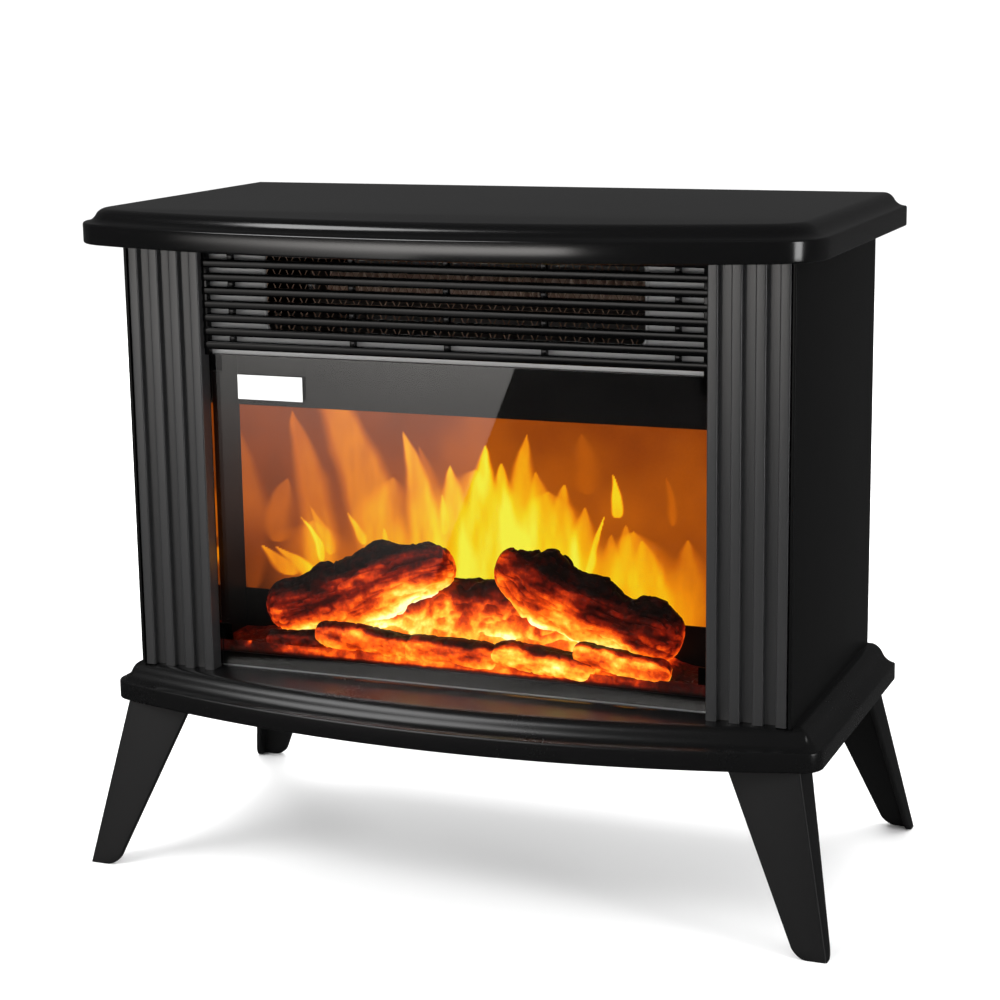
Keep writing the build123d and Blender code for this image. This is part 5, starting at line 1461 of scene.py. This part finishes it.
    def short_log(self, index: int, log: ShortLog, y: float) -> Shell:
        """One short log: a rough rod between two points, with char on top and glow below.

        The radius is its own size times 1 plus lumps, less grooves, and both ends draw in as
        (1 - |s|^9)^0.35, with s from -1 to 1 along the log. Heat falls over the upper part.

        Args:
            index: Its number, which seeds its noise.
            log: Its place, size and heat.
            y: How far back it lies, in millimetres.

        Returns:
            The log's shell.
        """
        axis = LogAxis(*(np.array([x, y, z]) * MM for x, z in (log.start, log.finish)))
        radius = log.radius * MM
        turn = np.linspace(0.0, FULL_TURN, self.short_sides, endpoint=False)
        v, u = np.meshgrid(np.linspace(0.0, 1.0, self.short_rows), turn, indexing="ij")
        end = np.maximum(1 - np.abs(2 * v - 1) ** 9, 0.0) ** 0.35
        spot = np.stack([v * axis.length * 0.4, np.cos(u) * radius, np.sin(u) * radius], axis=-1)
        lumps = layered_noise(spot, 4.5 * MM, 3, 200 + index)
        crease = smoothstep(0.75, 1.0, 1 - np.abs(layered_noise(spot, 2.4 * MM, 2, 230 + index)))
        r = (radius * (1.0 + 0.28 * lumps) - self.short_groove * crease) * end
        centre = axis.start + axis.along * (v * axis.length)[..., None]
        points = axis.wrap(centre, u, np.minimum(r, radius * 1.02), r)
        heat = log.warmth - 0.02 - 0.55 * smoothstep(0.55, 0.98, np.sin(u)) + 0.34 * lumps - 0.06 * crease
        shell = Shell().grid(points, wrap=True, warmth=np.clip(heat, 0.0, 1.0))
        return shell.cap(points[0], warmth=0.5).cap(points[-1], warmth=0.5)

    def front_logs(self) -> None:
        """Lay the short logs along the front of the bed. The first stands for their CAD node."""
        y = Extent("small_logs").middle[1] / MM
        for index, log in enumerate(self.short_logs):
            piece = self.short_log(index, log, y).build(f"short_log_{index + 1}", crease=60.0)
            nodes = ["small_logs"] if index == 0 else []
            place(piece, "cabinet", "ember_resin", *nodes)

    def build(self) -> None:
        """Build the bed and the short logs."""
        self.bed()
        self.front_logs()


# ---------------------------------------------------------------------------
# Flames on the screen
# ---------------------------------------------------------------------------

TAPER = 0.8
THINNEST = 1e-4


@dataclass(frozen=True)
class Tongue:
    """One flame in millimetres: foot and tip, half width, sideways bow, heat and softness of its edge."""

    foot: tuple[float, float]
    tip: tuple[float, float]
    width: float
    bow: float
    heat: float
    soft: float = 0.35
    belly: float = 0.35

    def glow(self, x: np.ndarray, z: np.ndarray) -> np.ndarray:
        """Heat of the flame at points of the screen.

        With t the share of the way up, the middle line is the straight line from foot to tip plus bow times
        sin(pi t), and the half width is width times t^belly (1 - t)^0.8, scaled to reach its full value.
        Heat falls off at the edge by 3s^2 - 2s^3 over the soft share of the half width.

        Args:
            x: How far right each point is.
            z: How high each point is.

        Returns:
            Heat of each point.
        """
        t = np.clip((z - self.foot[1]) / (self.tip[1] - self.foot[1]), 0.0, 1.0)
        middle = self.foot[0] + (self.tip[0] - self.foot[0]) * t + self.bow * np.sin(math.pi * t)
        peak = self.belly / (self.belly + TAPER)
        full = peak ** self.belly * (1 - peak) ** TAPER
        half = self.width * t ** self.belly * (1 - t) ** TAPER / full + THINNEST
        edge = smoothstep(1.0 + self.soft, 1.0 - self.soft, np.abs(x - middle) / half)
        inside = (z > self.foot[1]) & (z < self.tip[1])
        return self.heat * edge * inside


@dataclass
class FlameScreen:
    """The frosted screen with the flames that the spindle throws on it. Its pattern is in millimetres."""

    pitch: float = 0.62 * MM
    waver: float = 2.4
    waver_cell: float = 15.0
    patch: tuple[tuple[float, float], ...] = ((20.0, 46.0), (165.0, 40.0))
    tongues: tuple[Tongue, ...] = (
        Tongue((-4, 104), (-2, 196), 30.0, 0.0, 0.45, 0.9, 0.5),
        Tongue((34, 104), (36, 188), 26.0, 0.0, 0.45, 0.9, 0.5),
        Tongue((76, 100), (78, 172), 24.0, 0.0, 0.40, 0.9, 0.5),
        Tongue((-42, 110), (-44, 190), 18.0, 0.0, 0.28, 0.9, 0.5),
        Tongue((-84, 116), (-86, 166), 24.0, 0.0, 0.22, 0.9, 0.5),
        Tongue((-119, 128), (-126, 214), 9.0, 4.0, 0.14, 0.5, 0.6),
        Tongue((-104, 154), (-98, 186), 6.0, -2.0, 0.20, 0.6),
        Tongue((-84, 122), (-94, 219), 9.5, 6.0, 0.26, 0.45, 0.6),
        Tongue((-42, 118), (-90, 256), 11.5, 9.0, 0.36, 0.4, 0.6),
        Tongue((-26, 124), (-37, 212), 7.5, 4.5, 0.55, 0.4, 0.5),
        Tongue((-16, 140), (-30, 206), 6.0, 3.0, 0.22, 0.7),
        Tongue((-12, 116), (-13, 197), 9.5, 0.5, 0.70, 0.5),
        Tongue((-1, 112), (4, 208), 11.5, -1.5, 0.85, 0.5),
        Tongue((8, 120), (12, 200), 9.0, 1.5, 0.70, 0.5),
        Tongue((20, 126), (26, 214), 10.0, -1.5, 0.52, 0.5),
        Tongue((31, 126), (31, 197), 9.5, 1.5, 0.48, 0.5),
        Tongue((40, 128), (44, 192), 9.0, -1.0, 0.46, 0.55),
        Tongue((46, 128), (54, 182), 9.0, 2.0, 0.42, 0.5),
        Tongue((51, 144), (64, 178), 1.8, 0.5, 0.70, 0.35),
        Tongue((70, 178), (67, 198), 2.6, 1.8, 0.86, 0.3, 0.2),
        Tongue((73, 118), (74, 175), 7.5, 0.5, 0.36, 0.5),
        Tongue((85, 118), (82, 168), 8.5, 1.5, 0.36, 0.5),
        Tongue((64, 118), (67, 170), 7.0, 0.5, 0.32, 0.6),
        Tongue((102, 116), (104, 170), 11.0, 0.0, 0.26, 0.7),
        Tongue((-82, 146), (-93, 167), 2.4, 3.5, 0.62, 0.35),
        Tongue((-100, 138), (-113, 152), 5.5, 3.0, 0.46, 0.4),
        Tongue((-88, 136), (-105, 152), 5.0, 3.5, 0.52, 0.4),
        Tongue((-57, 156), (-65, 171), 2.4, 1.5, 0.56, 0.4),
        Tongue((-47, 157), (-48, 165), 1.2, 0.2, 0.55, 0.4),
        Tongue((-76, 150), (-87, 173), 3.4, 1.5, 0.28, 0.5),
        Tongue((96, 176), (93, 198), 2.2, 0.5, 0.14, 0.8),
        Tongue((55, 188), (53, 216), 5.0, 0.6, 0.10, 0.9),
        Tongue((-17, 164), (-18, 183), 2.0, 0.4, 0.60, 0.5))

    def heat(self, x: np.ndarray, z: np.ndarray) -> np.ndarray:
        """Heat of the whole screen in millimetres: haze, then every tongue laid over it.

        Tongues add as 1 - (1 - a)(1 - b), so that crossings brighten without ever running past 1. Points
        are shifted a little by noise first, which makes the flames' edges waver. The haze is brightest in
        a round patch behind the logs, and dark low down on the left and along the top.

        Args:
            x: How far right each point is.
            z: How high each point is.

        Returns:
            Heat of each point, from 0 to 1.
        """
        spot = np.stack([x, np.zeros_like(x), z], axis=-1)
        x = x + self.waver * layered_noise(spot * np.array([1.0, 1.0, 0.6]), self.waver_cell, 3, 5)
        haze = 0.20 + 0.06 * smoothstep(232.0, 140.0, z) + 0.05 * smoothstep(-100.0, 10.0, x)
        (patch_x, reach_x), (patch_z, reach_z) = self.patch
        haze += 0.14 * np.exp(-((x - patch_x) / reach_x) ** 2 - ((z - patch_z) / reach_z) ** 2)
        haze += 0.06 * layered_noise(spot, 26.0, 3, 11)
        haze *= 1 - 0.85 * smoothstep(-84.0, -112.0, x) * smoothstep(178.0, 138.0, z)
        haze *= 1 - 0.5 * smoothstep(222.0, 230.0, z)
        dark = 1 - haze
        for tongue in self.tongues:
            dark = dark * (1 - tongue.glow(x, z))
        streaks = layered_noise(spot * np.array([1.0, 1.0, 0.28]), 7.0, 3, 23)
        lit = 1 - dark
        return np.clip(lit * (1 + 0.20 * streaks * smoothstep(0.25, 0.6, lit)), 0.0, 1.0)

    def build(self) -> bpy.types.Object:
        """A closed slab: a fine grid in front that carries the heat, and the same outline behind.

        Returns:
            The screen's object.
        """
        box = Extent("flame_screen")
        (x0, y0, z0), (x1, y1, z1) = box.low, box.high
        x = np.linspace(x0, x1, int((x1 - x0) / self.pitch))
        z = np.linspace(z0, z1, int((z1 - z0) / self.pitch))
        grid_x, grid_z = np.meshgrid(x, z, indexing="ij")
        face = np.stack([grid_x, np.full_like(grid_x, y0), grid_z], axis=-1)
        rim = np.concatenate([face[:, 0], face[-1, 1:], face[-2::-1, -1], face[0, -2:0:-1]])
        rear = rim.copy()
        rear[:, 1] = y1
        shell = Shell().grid(face, warmth=self.heat(grid_x / MM, grid_z / MM))
        shell.grid(np.stack([rim, rear]), wrap=True, warmth=0.0).cap(rear, warmth=0.0)
        return place(shell.build("flame_picture", crease=30.0), "cabinet", "flame_film", "flame_screen")


# ---------------------------------------------------------------------------
# Studio
# ---------------------------------------------------------------------------

@dataclass(frozen=True)
class SoftLight:
    """One soft rectangular light, aimed at a point."""

    name: str
    spot: tuple[float, float, float]
    aim: tuple[float, float, float]
    size: tuple[float, float]
    power: float
    mirrored: bool = True

    def build(self) -> None:
        """Add the light to the scene."""
        lamp = bpy.data.lights.new(self.name, "AREA")
        lamp.shape = "RECTANGLE"
        lamp.size, lamp.size_y = self.size
        lamp.energy = self.power
        thing = add_object(self.name, lamp)
        away = np.array(self.spot) - np.array(self.aim)
        thing.matrix_world = turned(-away, self.spot)
        thing.visible_glossy = self.mirrored


def turned(forward: np.ndarray, spot: tuple, roll: float = 0.0) -> Matrix:
    """Placement that looks along forward: x = forward x up, y = x x forward, z = -forward, then a roll.

    Args:
        forward: Direction looked in.
        spot: Where it stands.
        roll: Turn about the direction looked in, in radians.

    Returns:
        The 4 by 4 placement.
    """
    ahead = forward / np.linalg.norm(forward)
    right = np.cross(ahead, np.array(UP))
    right /= np.linalg.norm(right)
    up = np.cross(right, ahead)
    leaned_right = math.cos(roll) * right + math.sin(roll) * up
    leaned_up = -math.sin(roll) * right + math.cos(roll) * up
    matrix = np.eye(4)
    matrix[:3, 0], matrix[:3, 1], matrix[:3, 2], matrix[:3, 3] = leaned_right, leaned_up, -ahead, spot
    return Matrix(matrix.tolist())


@dataclass
class Studio:
    """Pale floor, soft lights and the camera."""

    camera_spot: tuple[float, float, float] = (0.40324, -0.99899, 0.40782)
    yaw: float = 21.74
    pitch: float = 12.05
    roll: float = -0.81
    lens: float = 83.66
    sensor: float = 36.0
    clip: tuple[float, float] = (0.01, 100.0)
    floor_half: float = 40.0
    floor_depth: float = 0.02
    board_glow: float = 5.8
    board_y: float = -0.8
    board_corners: tuple[tuple[float, float], ...] = (
        (0.06, 0.29), (0.06, 0.185), (-0.246, 0.165), (-0.438, -0.30), (-1.5, -0.30), (-1.5, 0.29))
    board_greys: tuple[tuple[float, float], ...] = (
        (0.0, 0.0), (0.135, 0.025), (0.29, 0.095), (0.46, 0.225), (0.56, 0.40), (0.66, 1.0), (1.0, 1.0))
    daylight: float = 1.15
    mirrored_light: tuple[float, float] = (0.018, 0.060)
    lights: tuple[SoftLight, ...] = (
        SoftLight("key", (-0.9, -1.1, 1.5), (0.0, 0.0, 0.15), (1.2, 0.9), 26.0),
        SoftLight("side", (1.7, -0.5, 0.45), (0.0, 0.0, 0.15), (0.4, 1.2), 12.0),
        SoftLight("top", (0.0, 0.4, 2.0), (0.0, 0.0, 0.2), (1.6, 1.2), 22.0, False),
        SoftLight("rear", (-0.9, 1.7, 1.1), (0.0, 0.0, 0.2), (1.4, 0.8), 32.0, False),
    )

    def camera(self) -> None:
        """Stand the camera where its yaw, pitch and roll give the view."""
        yaw, pitch = math.radians(self.yaw), math.radians(self.pitch)
        level = math.cos(pitch)
        ahead = np.array([-math.sin(yaw) * level, math.cos(yaw) * level, -math.sin(pitch)])
        data = bpy.data.cameras.new("camera")
        data.lens, data.sensor_width = self.lens, self.sensor
        data.clip_start, data.clip_end = self.clip
        thing = add_object("camera", data)
        thing.matrix_world = turned(ahead, self.camera_spot, math.radians(self.roll))
        bpy.context.scene.camera = thing

    def floor(self) -> None:
        """A plain pale floor."""
        half = self.floor_half
        floor = Shell().block((-half, -half, -self.floor_depth), (half, half, 0.0)).build("floor")
        finish = Finish((0.90, 0.90, 0.90), 0.9, level=0.0, depth=0.0, mottle=0.0)
        floor.data.materials.append(finish.material("floor"))
        floor.visible_glossy = False
        floor.visible_transmission = False

    def board(self) -> None:
        """A slanted bright board in front on the left, which only mirroring surfaces show.

        Its light fades towards the bottom and towards the left.
        """
        corners = [(x, self.board_y, z) for x, z in self.board_corners]
        mesh = bpy.data.meshes.new("board")
        mesh.from_pydata(corners, [], [list(range(len(corners)))])
        board = add_object("board", mesh)
        material = bpy.data.materials.new("board")
        material.use_nodes = True
        wiring = Wiring(material.node_tree)
        shader = material.node_tree.nodes["Principled BSDF"]
        split = wiring.add("ShaderNodeSeparateXYZ")
        wiring.feed(split, 0, wiring.add("ShaderNodeTexCoord").outputs["Object"])
        height = wiring.spread(split.outputs["Z"], -0.12, 0.40, 0.0, 1.0)
        stops = [(stop, (grey, grey * 0.97, grey * 0.94)) for stop, grey in self.board_greys]
        upward = wiring.ramp(height, stops)
        leftward = wiring.spread(split.outputs["X"], -1.15, -0.35, 0.0, 1.0)
        wiring.feed(shader, "Base Color", (0.0, 0.0, 0.0, 1.0))
        wiring.feed(shader, "Specular IOR Level", 0.0)
        wiring.feed(shader, "Emission Color", wiring.blend(leftward, (0.0, 0.0, 0.0, 1.0), upward))
        wiring.feed(shader, "Emission Strength", self.board_glow)
        mesh.materials.append(material)
        board.visible_camera = False
        board.visible_diffuse = False
        board.visible_shadow = False

    def world(self) -> None:
        """Plain white surroundings to the eye and to light, but dim to reflections, less so behind."""
        world = bpy.data.worlds.new("surroundings")
        world.use_nodes = True
        bpy.context.scene.world = world
        wiring = Wiring(world.node_tree)
        background = world.node_tree.nodes["Background"]
        path = wiring.add("ShaderNodeLightPath")
        wiring.feed(background, "Color", (1.0, 1.0, 1.0, 1.0))
        glossy, through = path.outputs["Is Glossy Ray"], path.outputs["Is Transmission Ray"]
        mirrored = wiring.maths("MAXIMUM", glossy, through)
        split = wiring.add("ShaderNodeSeparateXYZ")
        wiring.feed(split, 0, wiring.add("ShaderNodeTexCoord").outputs["Generated"])
        dim = wiring.spread(split.outputs["Y"], 0.0, 0.7, *self.mirrored_light)
        wiring.feed(background, "Strength", wiring.spread(mirrored, 0.0, 1.0, self.daylight, dim))

    def build(self) -> None:
        """Build the studio."""
        self.camera()
        self.world()
        self.floor()
        self.board()
        for light in self.lights:
            light.build()
        bpy.context.scene.view_settings.view_transform = "Standard"


def main() -> None:
    """Build the studio and every piece in order."""
    logging.basicConfig(level=logging.INFO, format="%(name)s: %(message)s")
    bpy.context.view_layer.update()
    make_grain_group(Grain.MOULDED, (1.0, 1.0, 1.0))
    make_grain_group(Grain.BRUSHED, (1.0, 6.0, 6.0))
    make_smoulder_group()
    Studio().build()
    dress_frame()
    mantel = BowedBoard("mantel_top", 490.0 * MM, 28.0 * MM, 11.0 * MM, 6.1 * MM, "gloss_moulding")
    mantel.build("mantel_board")
    plinth = BowedBoard("base_plinth", 574.0 * MM, 10.0 * MM, 11.5 * MM, 8.8 * MM, "plinth_gloss")
    plinth.build("plinth_board")
    Cabinet().build()
    AirGrille().build()
    CharredLog("left_log", "log_left", (-0.103, 0.1230), (-0.006, 0.1540), 3).build()
    CharredLog("right_log", "log_right", (0.104, 0.1230), (0.015, 0.1545), 8).build()
    EmberTray().build()
    FlameScreen().build()


if __name__ == "__main__":
    main()
